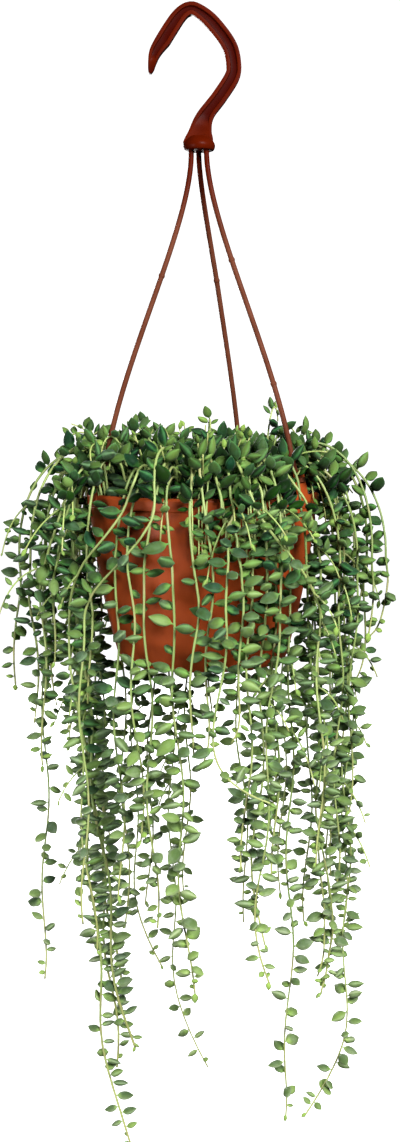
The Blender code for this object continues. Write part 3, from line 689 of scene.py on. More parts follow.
def make_pot(finish):
    body = object_of(revolve(pot_outline(), POT_SIDES, AXIS_X), "pot_shell", finish)
    combined(body, [lug(azimuth) for azimuth in ARM_AZIMUTHS], "UNION")
    cutters = []
    for azimuth in ARM_AZIMUTHS:
        centre = lug_point(azimuth, SLOT_CENTRE, LUG_THICKNESS / 2)
        size = (SLOT_WIDTH, 4 * LUG_THICKNESS, SLOT_HEIGHT)
        cutters.append(object_of(box(centre, lug_frame(azimuth), size), "slot"))
    for i in range(DRAIN_HOLES):
        centre = around(360.0 * (i + 0.5) / DRAIN_HOLES, DRAIN_CIRCLE, POT_Z)
        ends = [centre - 5 * UP, centre + 15 * UP]
        cutters.append(object_of(loft(carried_rings(ends, [DRAIN_RADIUS] * 2, 24)), "drain"))
    combined(body, cutters, "DIFFERENCE")
    smoothed(body)
    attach(body, "root")
    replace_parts(body, "pot")


def hook_section(half_width, fade):
    """The hook's cross-section as (across, depth): a bar with a channel down both faces."""
    deep = HOOK_DEPTH / 2
    floor = deep - CHANNEL_DEPTH * max(fade, 0.02)
    inner = half_width - RIDGE
    bottom = inner - 0.5 * fade
    front = [(half_width, -deep), (half_width, deep), (inner, deep), (bottom, floor)]
    back = [(-bottom, floor), (-inner, deep), (-half_width, deep), (-half_width, -deep)]
    return front + back + [(-inner, -deep), (-bottom, -floor), (bottom, -floor), (inner, -deep)]


def reached(share, part):
    """How much of a stretch of the hook lies behind this share of its length."""
    return (share - part[0]) / part[1]


def hook_form(share):
    """The section at a share of the hook's length: wide at the root, pointed at the tip."""
    root = 1 - smoothstep(reached(share, ROOT_PART))
    tip = smoothstep(reached(share, TIP_PART))
    half = HOOK_SEAT_RADIUS + root * (HOOK_ROOT_WIDTH / 2 - HOOK_SEAT_RADIUS)
    half += tip * (HOOK_TIP_WIDTH / 2 - HOOK_SEAT_RADIUS)
    half += HOOK_FLARE * (1 - smoothstep(reached(share, FLARE_PART)))
    slim = HOOK_POINT * max(reached(share, SLIM_PART), 0.0)
    nose = math.sqrt(max(1 - max(reached(share, NOSE_PART), 0.0) ** 2, NOSE_LEAST))
    thin = 1.0 - HOOK_THINNING * smoothstep(reached(share, THIN_PART))
    crest = HOOK_CREST * math.exp(-(reached(share, CREST_PART) ** 2))
    fade = smoothstep(reached(share, CHANNEL_IN)) * (1 - smoothstep(reached(share, CHANNEL_OUT)))
    points = []
    for u, v in hook_section(half, float(fade)):
        u = half - (half - u) * (1 - slim) * nose - HOOK_POINT_INSET * half * (1 - nose)
        points.append((u - crest if u > 0 else u, v * thin))
    return points


def hook_rings():
    route = smooth_route(HOOK_PATH, HOOK_RINGS)
    rings = []
    for i, (x, z) in enumerate(route):
        before = route[max(i - 1, 0)]
        after = route[min(i + 1, HOOK_RINGS - 1)]
        along = Vector((after[0] - before[0], after[1] - before[1])).normalized()
        across = Vector((along.y, -along.x))
        share = i / (HOOK_RINGS - 1)
        level = float(1 - smoothstep(reached(share, LEVEL_PART)))
        across = across.lerp(Vector((1.0, 0.0)), level).normalized()
        form = hook_form(share)
        rings.append([Vector((x + u * across.x, v, z + u * across.y)) for u, v in form])
    return rings


def collar():
    """The moulded foot of the hook, with a soft flare up into it."""
    corners = (
        (COLLAR_RADIUS - 2.2, COLLAR_BOTTOM, 0),
        (COLLAR_RADIUS - 0.8, COLLAR_BOTTOM + 0.2, 1.2),
        (COLLAR_RADIUS, COLLAR_BOTTOM + 2.6, 1.6),
        (COLLAR_RADIUS - 0.4, COLLAR_BOTTOM + 4.6, 1.8),
        (COLLAR_RADIUS - 2.0, COLLAR_BOTTOM + 6.6, 1.5),
        (COLLAR_RADIUS - 4.5, COLLAR_TOP, 0),
    )
    return revolve(rounded(corners), COLLAR_SIDES, COLLAR_X)


def strap_middle(up):
    back = LUG_INNER - GAP - STRAP_THICKNESS / 2
    return back - math.sin(LUG_LEAN) * up, RIM_Z + math.cos(LUG_LEAN) * up


def arm_route(azimuth, count=ARM_RINGS):
    """The middle of one arm, from the collar to the top of its strap."""
    curve = (*ARM_CURVE, strap_middle(STRAP_TOP))
    aside = BACK_ARM_SHIFT if azimuth == ARM_AZIMUTHS[1] else 0.0
    points = []
    for t in np.linspace(0, 1, count):
        radius, z = bezier(curve, t)
        middle = COLLAR_X + (AXIS_X - COLLAR_X) * t + aside * (1 - smoothstep(t / 0.5))
        points.append(around(azimuth, radius, z, middle))
    return points


def strap(azimuth):
    """The flat end of an arm, inside its lug."""
    axes = lug_frame(azimuth)
    rings = []
    for up, narrow in ((STRAP_TOP + 3.0, 0.62), (STRAP_TOP - 5.0, 1.0), (STRAP_BOTTOM, 1.0)):
        radius, z = strap_middle(up)
        centre = around(azimuth, radius, z)
        across = axes.col[0] * STRAP_WIDTH / 2 * narrow
        through = axes.col[1] * STRAP_THICKNESS / 2
        corners = ((-1, -1), (1, -1), (1, 1), (-1, 1))
        rings.append([centre + a * across + b * through for a, b in corners])
    return loft(rings)


def peg(azimuth):
    length = LUG_THICKNESS + GAP + 3.4
    centre = lug_point(azimuth, SLOT_CENTRE, LUG_THICKNESS + 1.6 - length / 2)
    return box(centre, lug_frame(azimuth), (SLOT_WIDTH - 2 * GAP, length, SLOT_HEIGHT - 2 * GAP))


def pip(azimuth, share):
    """A small moulding pip round an arm."""
    route = arm_route(azimuth)
    i = int(share * (len(route) - 1))
    middle = route[i]
    along = (route[i + 1] - middle).normalized()
    profile = ((-1.6, 1.5), (-0.9, 1.95), (0.0, 2.1), (0.9, 1.95), (1.6, 1.5))
    points = [middle + along * d for d, _ in profile]
    return loft(carried_rings(points, [r for _, r in profile], ARM_SIDES))


def make_hanger(finish):
    hook = bevelled(object_of(loft(hook_rings()), "hanger_moulding", finish), HOOK_BEVEL, 3, 25)
    pieces = [object_of(collar(), "collar")]
    for azimuth in ARM_AZIMUTHS:
        route = arm_route(azimuth)
        arm = carried_rings(route, [ARM_RADIUS] * len(route), ARM_SIDES)
        pieces.append(object_of(loft(arm), "arm"))
        pieces.append(bevelled(object_of(strap(azimuth), "strap"), STRAP_BEVEL))
        pieces.append(bevelled(object_of(peg(azimuth), "peg"), PEG_BEVEL))
    pieces += [object_of(pip(*place), "pip") for place in PIPS]
    combined(hook, pieces, "UNION")
    hook.data.materials.clear()
    hook.data.materials.append(finish)
    smoothed(hook, 32)
    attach(hook, "root")
    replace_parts(hook, "hanger")


# Routes of the stems, the same as those of the solids


def slide_left(z):
    """How much of a stem's slide is left at this height: all at the rim, none further down."""
    return float(1 - smoothstep((RIM_Z - z) / SLIDE_FALL))


def arch_points(strand, rise, sway):
    """Up out of the soil and over the rim."""
    curve = (
        (strand.root, SOIL_TOP + 2.0),
        (strand.root + 2.0, RIM_Z + 1.35 * rise),
        (strand.reach, RIM_Z + 1.15 * rise),
        (strand.reach, RIM_Z - RIM_DROP),
    )
    points = []
    for t in np.linspace(0, 1, ARCH_STEPS):
        radius, z = bezier(curve, t)
        slide = strand.slide * (slide_left(z) if t > 0.5 else 1.0)
        azimuth = strand.azimuth + slide + strand.twist * (1 - smoothstep(t))
        points.append(around(azimuth + sway * math.sin(math.pi * t), radius, z))
    return points


def hanging_points(strand, top, phases):
    """Down from beside the rim to the tip, with a slight wave."""
    fall = top - strand.tip
    waves = max(fall / WAVE_LENGTH, 0.4)
    points = []
    for share in np.linspace(0, 1, HANG_STEPS)[1:]:
        z = top - fall * share
        point = around(strand.azimuth + strand.slide * slide_left(z), strand.reach, z)
        bend = share**BEND_POWER
        swell = WAVE * smoothstep(share * 3)
        wobble = [swell * math.sin(2 * math.pi * waves * share + phase) for phase in phases]
        point.x += strand.lean[0] * bend + strand.flick * share**FLICK_POWER + wobble[0]
        point.y += strand.lean[1] * bend + wobble[1]
        points.append(point)
    return points


def strand_route(strand, draw):
    """A stem's points, close together, from the soil to the tip."""
    rise = strand.arch * draw.uniform(0.86, 1.12)
    points = arch_points(strand, rise, draw.uniform(SWAY, -SWAY))
    phases = [draw.uniform(0, 2 * math.pi) for _ in range(2)]
    points = np.array(points + hanging_points(strand, points[-1].z, phases))
    return resampled(points, int(run_lengths(points)[-1] / ROUTE_STEP) + 2)


def close_pairs(points, owner, within):
    """Pairs of points on different stems that are this near to each other."""
    pairs = []
    for i in range(len(points) - 1):
        offset = points[i + 1 :] - points[i]
        near = (offset * offset).sum(axis=1) < within * within
        near &= owner[i + 1 :] != owner[i]
        for j in np.flatnonzero(near):
            pairs.append((i, i + 1 + j))
    return np.array(pairs).T


def wall_radius(z):
    """How far a hanging stem keeps from the pot's axis at this height."""
    if z > RIM_Z + 4 or z < POT_Z - 4:
        return 0.0
    if z > RIM_Z - BAND_HEIGHT - 4:
        return RIM_RADIUS + STEM_CLEARANCE
    return pot_radius(z) + STEM_CLEARANCE


def pushes(points, first, second):
    """How far aside each point has to move for these pairs to be APART from each other."""
    offset = points[first] - points[second]
    distance = np.linalg.norm(offset, axis=1) + 1e-6
    flat = offset[:, :2] / (np.linalg.norm(offset[:, :2], axis=1) + 1e-3)[:, None]
    move = flat * (0.5 * np.maximum(APART - distance, 0.0))[:, None]
    push = np.zeros((len(points), 2))
    np.add.at(push, first, move)
    np.add.at(push, second, -move)
    return push


def spread(routes):
    """Bends stems sideways until they are APART from each other and clear of the pot."""
    owner = np.concatenate([np.full(len(route), i) for i, route in enumerate(routes)])
    points = np.concatenate(routes)
    loose = np.concatenate([smoothstep(np.arange(len(route)) / 6.0) for route in routes])
    walls = np.array([wall_radius(z) for z in points[:, 2]])
    inner = (owner[1:-1] == owner[:-2]) & (owner[1:-1] == owner[2:])
    for turn in range(SPREAD_PASSES):
        if turn % PAIRS_EVERY == 0:
            first, second = close_pairs(points, owner, 3 * APART)
        push = pushes(points, first, second)
        soft = (push[:-2] + 2 * push[1:-1] + push[2:]) / 4
        push[1:-1][inner] = soft[inner]
        points[:, :2] += push * loose[:, None]
        radial = points[:, :2] - (AXIS_X, 0.0)
        radius = np.linalg.norm(radial, axis=1)
        near = (radius < walls) & (radius > RIM_RADIUS - 10) & (loose >= 1)
        points[near, :2] += (radial * ((walls - radius) / radius)[:, None])[near]
    return [points[owner == i] for i in range(len(routes))]


def finer(route):
    """The route through the same points, smoothed, with a root below it in the soil."""
    route = np.concatenate([[route[0] - (0.0, 0.0, ROOT_DEPTH)], route])
    return smooth_route(route, int(run_lengths(route)[-1] / STEM_STEP) + 2)


# Space taken by what is there already


class Space:
    """Balls in a grid of cells, each with its owner, to keep new leaves from what is there."""

    CELL = 12.0

    def __init__(self):
        self.cells = {}

    def key(self, x, y, z):
        return int(x // self.CELL), int(y // self.CELL), int(z // self.CELL)

    def take(self, balls, owner):
        for x, y, z, radius in balls:
            self.cells.setdefault(self.key(x, y, z), []).append((x, y, z, radius, owner))

    def near(self, x, y, z):
        """The balls in the cell of this point and in those around it."""
        a, b, c = self.key(x, y, z)
        for i in (a - 1, a, a + 1):
            for j in (b - 1, b, b + 1):
                for k in (c - 1, c, c + 1):
                    yield from self.cells.get((i, j, k), ())

    def is_free(self, balls, owner, margin):
        for x, y, z, radius in balls:
            for u, v, w, other, held in self.near(x, y, z):
                reach = radius + other + margin
                if held == owner or reach <= 0:
                    continue
                if (u - x) ** 2 + (v - y) ** 2 + (w - z) ** 2 < reach * reach:
                    return False
        return True


def clear_balls():
    """Balls along each gap, from its inner end towards the front."""
    balls = []
    for azimuth, reach, rise, size, length in CLEARINGS:
        inner = around(azimuth, reach, RIM_Z + rise)
        for step in np.arange(0.0, length, GAP_STEP):
            balls.append((inner.x, inner.y - step, inner.z + step * GAP_RISE, size * size))
    return balls


CLEAR_BALLS = clear_balls()
CAD_LOW, CAD_HIGH = CAD_BOX
LEFT, FRONT = (CAD_LOW[axis] / MM - BOX_MARGIN for axis in range(2))
RIGHT, BACK = (CAD_HIGH[axis] / MM + BOX_MARGIN for axis in range(2))


def in_the_open(balls):
    """Whether balls clear the gaps, the pot and the soil, and stay close to the solids' box."""
    for x, y, z, radius in balls:
        for u, v, w, square in CLEAR_BALLS:
            if (u - x) ** 2 + (v - y) ** 2 + (w - z) ** 2 < square:
                return False
        if not (LEFT < x < RIGHT and FRONT < y < BACK):
            return False
        reach = math.hypot(x - AXIS_X, y)
        if POT_Z - radius < z < RIM_Z + radius:
            wall = RIM_RADIUS if z > RIM_Z - BAND_HEIGHT - radius else pot_radius(z)
            outside = reach > wall + radius * 0.8
            inside = reach < inner_radius(SOIL_TOP) - radius and z > SOIL_TOP + radius * 0.6
            if not (outside or inside):
                return False
    return True


def hanger_space(space):
    for azimuth in ARM_AZIMUTHS:
        space.take([(*p, ARM_RADIUS) for p in arm_route(azimuth, 60)], "arm")
        for up in range(0, int(STRAP_TOP) + 4, 2):
            half = 3.5 if up > LUG_HEIGHT else LUG_WIDTH / 2
            space.take([(*lug_point(azimuth, up, 0.0), half)], "arm")


# Leaves and stems


def leaf_template():
    """Points of a unit leaf along +X with what its shader needs, and its faces."""
    points = []
    looks = []
    for share, half in LEAF_PROFILE:
        for turn in full_turn(LEAF_SIDES):
            rise = math.sin(turn)
            points.append((share, half * math.cos(turn), half * rise))
            looks.append((share, 0.5 + 0.5 * rise * min(half * 2, 1.0)))
    points.append((1.0, 0.0, 0.0))
    looks.append((1.0, 0.5))
    faces = tube_faces(len(LEAF_PROFILE), LEAF_SIDES)
    tip = len(points) - 1
    last = tip - LEAF_SIDES
    faces += [(last + k, last + (k + 1) % LEAF_SIDES, tip) for k in range(LEAF_SIDES)]
    return np.array(points), np.array(looks), faces


LEAF_POINTS, LEAF_LOOKS, LEAF_FACES = leaf_template()


class Greenery:
    """Stems and leaves of one piece, as arrays, with the attribute that their shaders read.

    The attribute holds a tint, partly random and partly painted light and shade, the share along
    the leaf or stem, how young it is, and for a leaf which face of it looks up.
    """

    def __init__(self, owner, space, draw):
        self.owner = owner
        self.space = space
        self.draw = draw
        self.points = []
        self.looks = []
        self.faces = []
        self.kinds = []
        self.total = 0

    def add(self, points, looks, faces, kind):
        self.points.append(points)
        self.looks.append(looks)
        self.faces += [tuple(v + self.total for v in face) for face in faces]
        self.kinds += [kind] * len(faces)
        self.total += len(points)

    def add_leaf(self, root, way, normal, length, width, tint, young, bend):
        side = normal.cross(way).normalized()
        axes = np.array((way, side, way.cross(side)))
        local = LEAF_POINTS * (length, width / 2, width / 2 * LEAF_THICKNESS)
        local[:, 2] += bend * length * LEAF_POINTS[:, 0] ** 2
        looks = np.empty((len(local), 4))
        looks[:, 0] = tint
        looks[:, 1] = LEAF_LOOKS[:, 0]
        looks[:, 2] = young
        looks[:, 3] = LEAF_LOOKS[:, 1]
        self.add(np.array(root) + local @ axes, looks, LEAF_FACES, 0)

    def add_stem(self, route, radii, tint, young_from=0.8):
        rings = carried_rings(route, radii, STEM_SIDES)
        points = np.array([point for ring in rings for point in ring])
        count = len(rings)
        faces = tube_faces(count, STEM_SIDES)
        faces.append(tuple(range((count - 1) * STEM_SIDES, count * STEM_SIDES)))
        share = np.repeat(np.linspace(0, 1, count), STEM_SIDES)
        young = smoothstep((share - young_from) * 5)
        looks = np.stack([np.full(len(share), tint), share, young, share], 1)
        self.add(points, looks, faces, 1)

    def take_stem(self, route, radius):
        """Marks the space along a stem as taken."""
        run = run_lengths(route)
        centres = read_at(route, run, np.arange(0, run[-1], STEM_STEP))
        self.space.take([(*centre, radius) for centre in centres], self.owner)

    def is_free(self, balls, margin):
        return in_the_open(balls) and self.space.is_free(balls, self.owner, margin)

    def has_room(self, route, margin=0.0):
        return self.is_free([(*p, 0.7) for p in route[2:]], margin)

    def build(self, name, finishes):
        mesh = bpy.data.meshes.new(name)
        mesh.from_pydata((np.concatenate(self.points) * MM).tolist(), [], self.faces)
        for finish in finishes:
            mesh.materials.append(finish)
        mesh.polygons.foreach_set("material_index", self.kinds)
        look = mesh.attributes.new("look", "FLOAT_COLOR", "POINT")
        look.data.foreach_set("color", np.concatenate(self.looks).astype(np.float32).ravel())
        mesh.shade_smooth()
        mesh.update()
        made = linked(name, mesh)
        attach(made, "root")
        return made


def place_on(route, run, place):
    """The point at a distance along a route, and the way the route runs there."""
    index = min(max(int(np.searchsorted(run, place)), 1), len(route) - 1)
    along = Vector(route[index] - route[index - 1]).normalized()
    return read_at(route, run, place), along


def leaf_balls(root, way, length, width):
    balls = []
    for share, size in LEAF_BALLS:
        centre = root + way * (length * share)
        balls.append((*centre, width / 2 * size))
    return balls


def usual_length(z):
    low = float(smoothstep((RIM_Z - RIM_DROP - z) / LENGTH_FALL))
    return LEAF_LENGTH + (LOW_LEAF_LENGTH - LEAF_LENGTH) * low


def leaf_way(point, along, turn, lift):
    """A leaf's direction: turned round the stem from straight outwards, and lifted."""
    outward = Vector((point[0] - AXIS_X, point[1], 0.0))
    if outward.length < 1.0:
        outward = Vector((1.0, 0.0, 0.0))
    out = outward - outward.dot(along) * along
    if out.length < 0.2:
        out = along.orthogonal()
    out.normalize()
    side = along.cross(out)
    way = math.cos(turn) * out + math.sin(turn) * side
    return (way + UP * lift).normalized()


def leaf_normal(way, along, draw):
    """Where a leaf's upper face looks: upwards, with a slight roll."""
    flat = UP - UP.dot(way) * way
    if flat.length < 0.1:
        flat = along.orthogonal()
    return Matrix.Rotation(draw.uniform(*ROLL_RANGE), 3, way) @ flat.normalized()


def leaf_tint(root, way, tone, draw):
    """Tint with painted shade and light: dark on the mound, darkest deep in it or pointing inwards,
    lighter further down.
    """
    outward = Vector((root.x - AXIS_X, root.y, 0.0))
    # Painted light: leaves lower down get a lighter tint, the mound's a darker one.
    low = float(smoothstep((RIM_Z + 20.0 - root.z) / TINT_FALL))
    tint = min(max(-0.01 + LOW_TINT * low + tone + draw.uniform(*TINT_RANGE), 0.0), 1.0)
    top = RIM_Z + MOUND_TOP - MOUND_FALL * (outward.length / MOUND_RADIUS) ** 2
    # Painted shade: leaves deep in the mound, or below the rim pointing inwards, get a darker tint.
    if root.z > RIM_Z - 6:
        deep = 0.35 + 0.65 * float(smoothstep((top - root.z) / MOUND_DEPTH))
    else:
        deep = 0.5 * max(-way.dot(outward.normalized()), 0.0)
    return SHADED + (1 - SHADED) * tint - SHADED * min(deep * draw.uniform(0.8, 1.3), 1.0)


def grow_leaves(green, route, spacing, start, scale=1.0, pale=0.0, bare=None):
    """Leaves all along a stem, on alternate sides, each clear of what is there already."""
    draw = green.draw
    run = run_lengths(route)
    place = start
    side = draw.choice((-1, 1))
    favour = draw.uniform(-0.5, 0.5)
    tone = draw.uniform(-0.08, 0.12)
    young_part = min(YOUNG_LENGTH, YOUNG_SHARE * run[-1])
    while place < run[-1] - 0.5:
        point, along = place_on(route, run, place)
        left = run[-1] - place
        age = min(left / young_part, 1.0)
        size = usual_length(point[2]) * scale * (YOUNGEST + (1 - YOUNGEST) * age)
        length = size * draw.triangular(*LENGTH_RANGE)
        width = length * draw.uniform(*LEAF_WIDTH)
        young = pale + (1 - age) ** 1.5 * draw.uniform(0.5, 1.0)
        young = min(young + draw.choice(YOUNG_LOOKS), 1.0)
        high = point[2] > RIM_Z - 5
        side = -side if draw.random() < SIDE_CHANGE else side
        wide = draw.uniform(*TURN_RANGE)
        for attempt in range(LEAF_TRIES):
            lift = draw.uniform(*HIGH_LIFT) if high else draw.triangular(*LOW_LIFT)
            way = leaf_way(point, along, favour + side * (wide + attempt * TRY_TURN), lift)
            if bare and point[2] > bare[2] and way.dot(bare[0]) > bare[1]:
                continue
            if left < END_LEAVES:
                way = (along + 0.4 * way).normalized()
            root = Vector(point) + way * 0.3
            balls = leaf_balls(root, way, length, width)
            if green.is_free(balls, LEAF_OVERLAP):
                green.space.take(balls, (green.owner, place))
                normal = leaf_normal(way, along, draw)
                tint = leaf_tint(root, way, tone, draw)
                bend = draw.uniform(*BEND_RANGE)
                green.add_leaf(root, way, normal, length, width, tint, young, bend)
                break
        gap = spacing[0] if point[2] > POT_Z + 10 else spacing[1]
        place += gap * draw.uniform(*SPACING_RANGE) * (0.65 + 0.35 * age)


def branch_route(start, way, length, droop):
    """A short side shoot that starts along a direction and bends down."""
    points = [Vector(start)]
    steps = max(int(length / STEM_STEP), 3)
    heading = way.copy()
    for _ in range(steps):
        heading = (heading - UP * (droop / steps)).normalized()
        points.append(points[-1] + heading * (length / steps))
    return np.array(points)


def add_branches(green, route, places, kind):
    """Side shoots with leaves of their own at these places of a stem, where there is room."""
    draw = green.draw
    run = run_lengths(route)
    for place in places:
        point, along = place_on(route, run, place)
        for _ in range(BRANCH_TRIES):
            turn = draw.uniform(-kind.turn, kind.turn)
            way = leaf_way(point, along, turn, draw.uniform(*kind.lift))
            way = (way + along * 0.5).normalized()
            size = draw.uniform(*kind.length)
            shoot = branch_route(point, way, size, draw.uniform(*kind.droop))
            if green.has_room(shoot):
                radii = np.linspace(BRANCH_RADIUS, BRANCH_TIP_RADIUS, len(shoot))
                green.add_stem(shoot, radii, draw.random(), 0.3)
                green.take_stem(shoot, 0.7)
                spacing = (kind.spacing, kind.spacing)
                grow_leaves(green, shoot, spacing, BRANCH_FIRST_LEAF, kind.scale, 0.15)
                break


def strand_stems(routes, space, draw):
    greens = []
    for index, route in enumerate(routes):
        green = Greenery(index, space, draw)
        radii = np.interp(route[:, 2], STEM_HEIGHTS, (TIP_RADIUS, LOW_RADIUS, STEM_RADIUS))
        radii = np.minimum(radii, np.linspace(STEM_RADIUS + 0.5, TIP_RADIUS, len(route)))
        radii *= 1 + KNOBBLE * np.sin(np.arange(len(route)) * 1.9 + index)
        if index + 1 in BUNDLE:
            radii *= BUNDLE_THICKER
        green.add_stem(route, radii, draw.random())
        green.take_stem(route, 1.0)
        greens.append(green)
    return greens


def strand_leaves(green, route, number):
    usual = SPARSE.get(number, green.draw.uniform(*LEAF_SPACING))
    above = SPARSE_ABOVE.get(number, usual)
    below = min(usual, BELOW_SPACING) if number in SPARSE_ABOVE else usual
    pale = green.draw.uniform(0, 0.18)
    scale = LONGER.get(number, 1.0)
    grow_leaves(green, route, (above, below), FIRST_LEAF, scale, pale, BARE_SIDES.get(number))


def strand_branches(green, route):
    """Side shoots over the rim, and on a long stem also further down."""
    draw = green.draw
    run = run_lengths(route)
    arch = run[np.argmax(route[:, 2] < RIM_Z - 10)]
    places = [draw.uniform(22, max(arch, 40)) for _ in range(HIGH_BRANCH_COUNT)]
    add_branches(green, route, places, HIGH_BRANCHES)
    hang = run[-1] - arch
    if hang > BRANCHED_FROM:
        count = int(hang / LOW_BRANCH_STEP)
        places = [arch + hang * draw.uniform(0.05, 0.62) for _ in range(count)]
        add_branches(green, route, places, LOW_BRANCHES)


def clothe_strands(greens, routes, finishes):
    strands = list(enumerate(zip(greens, routes), 1))
    for number, (green, route) in strands:
        strand_leaves(green, route, number)
    for number, (green, route) in strands:
        if number not in UNBRANCHED:
            strand_branches(green, route)
    for number, place, length, droop in EDGE_SHOOTS:
        kind = EDGE_BRANCHES._replace(length=(length, length), droop=(droop, droop))
        add_branches(greens[number - 1], routes[number - 1], [place], kind)
    for number, green in enumerate(greens, 1):
        name = f"strand_{number:02d}"
        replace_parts(green.build(name + "_leafy", finishes), name)


def shoot_route(azimuth, base, lean, height):
    """A short shoot that rises from the soil and bends outwards."""
    points = [around(azimuth, base, SOIL_TOP - 6.0)]
    for t in np.linspace(0, 1, 9):
        points.append(around(azimuth, base + lean * t * t, SOIL_TOP + 2 + height * t))
    return np.array(points)


def spray_route(azimuth, base, reach, rise, drop, sway):
    """A short stem that rises from the soil, bends over outwards and ends in the mound."""
    curve = (
        (base, SOIL_TOP - 4.0),
        (base + 1.0, SOIL_TOP + 1.3 * rise),
        (reach - 2.0, SOIL_TOP + 1.25 * rise),
        (reach, SOIL_TOP + rise - drop),
    )
    points = []
    for t in np.linspace(0, 1, 18):
        radius, z = bezier(curve, t)
        points.append(around(azimuth + sway * t, radius, z))
    return np.array(points)


def left_rise(azimuth, base):
    """The mound stands a little higher on the left than on the right."""
    return -6.0 * math.cos(math.radians(azimuth)) * base / 60.0


def spiral(count, first, extent):
    """Azimuths and distances that fill a round bed evenly, from the middle outwards."""
    for i in range(count):
        yield math.degrees(i * GOLDEN_TURN), first + extent * math.sqrt((i + 0.5) / count)


def inner_shoots(draw):
    shoots = []
    for azimuth, base in spiral(INNER_SHOOTS, 6.0, 60.0):
        height = 52 - 17 * (base / 66) ** 2 + draw.uniform(-14, 3)
        shoots.append((azimuth, base, draw.uniform(6, 22), height + left_rise(azimuth, base)))
    return shoots


def inner_sprays(draw):
    sprays = []
    for azimuth, base in spiral(INNER_SPRAYS, 8.0, 50.0):
        rise = 42 - 13 * (base / 58) ** 2 + draw.uniform(-8, 6)
        reach = base + draw.uniform(16, 34)
        turn = azimuth + draw.uniform(-8, 8)
        rise += left_rise(turn, base)
        sprays.append((turn, base, reach, rise, draw.uniform(4, 30), draw.uniform(-30, 30)))
    return sprays


def rim_sprays(draw):
    sprays = []
    for count, first, arc, bases, reaches, rises, drops, sway in RIM_SPRAYS:
        for i in range(count):
            turn = first + arc * (i + draw.random()) / count
            base, reach, rise = [draw.uniform(*ends) for ends in (bases, reaches, rises)]
            drop = rise + draw.uniform(*drops)
            sprays.append((turn, base, reach, rise, drop, draw.uniform(-sway, sway)))
    return sprays


def add_beads(green):
    """Round saturated leaves low behind the rim, each on a short stem of its own."""
    for azimuth, radius, rise, turn in BEADS:
        root = around(azimuth, radius, SOIL_TOP + rise)
        foot = around(azimuth, radius - 5.0, SOIL_TOP - 4.0)
        green.add_stem(np.array([foot, (foot + root) / 2 + UP * 2, root]), [0.8] * 3, 0.5)
        heading = math.radians(turn)
        way = Vector((math.cos(heading), math.sin(heading), 0.15)).normalized()
        normal = (UP - UP.dot(way) * way).normalized()
        green.add_leaf(root, way, normal, BEAD_LENGTH, BEAD_WIDTH, BEAD_TINT, 0.0, 0.05)
        green.space.take(leaf_balls(root, way, BEAD_LENGTH, BEAD_WIDTH), "bead")


def crown_stems(space, draw):
    """The upright shoots, and more short stems all over the soil between them."""
    green = Greenery("crown", space, draw)
    wanted = [shoot_route(*shoot) for shoot in (*SHOOTS, *inner_shoots(draw))]
    sprays = [*SPRIGS, *inner_sprays(draw), *rim_sprays(draw)]
    wanted += [spray_route(*spray) for spray in sprays]
    routes = []
    for i, route in enumerate(wanted):
        if i < len(SHOOTS) or green.has_room(route, STEM_OVERLAP):
            routes.append(route)
            green.take_stem(route, 0.8)
            green.add_stem(route, np.linspace(0.8, 0.45, len(route)), draw.random(), 0.6)
    return green, routes


def clothe_crown(green, routes, finishes):
    add_beads(green)
    for route in routes:
        pale = green.draw.uniform(0, 0.1)
        grow_leaves(green, route, (5.4, 5.4), CROWN_FIRST_LEAF, 0.96, pale)
    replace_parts(green.build("crown_shoots", finishes), "crown")


def soil_ring(size, z, rough=0.0):
    """A ring of the peat's face or side, uneven by this share."""
    ring = []
    for turn in full_turn(SOIL_SIDES):
        x = AXIS_X + size * math.cos(turn)
        y = size * math.sin(turn)
        lumps = noise.noise(Vector((x, y, 0)) * 0.12) * 1.6
        lumps += noise.noise(Vector((x, y, 7)) * 0.5) * 0.9
        ring.append(Vector((x, y, z + lumps * rough)))
    return ring


def make_soil(finish):
    """A bed of peat with an uneven top."""
    radius = inner_radius(SOIL_TOP) - GAP
    shares = np.linspace(0.04, 1, 24)
    rings = [soil_ring(radius * share, SOIL_TOP, 1 - share**6) for share in shares]
    for z in (SOIL_TOP - 30, FLOOR_Z + 40, FLOOR_Z + GAP):
        rings.append(soil_ring(inner_radius(z) - GAP, z))
    bed = object_of(loft(rings), "soil_bed", finish, 60)
    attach(bed, "root")
    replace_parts(bed, "soil")


# Shaders


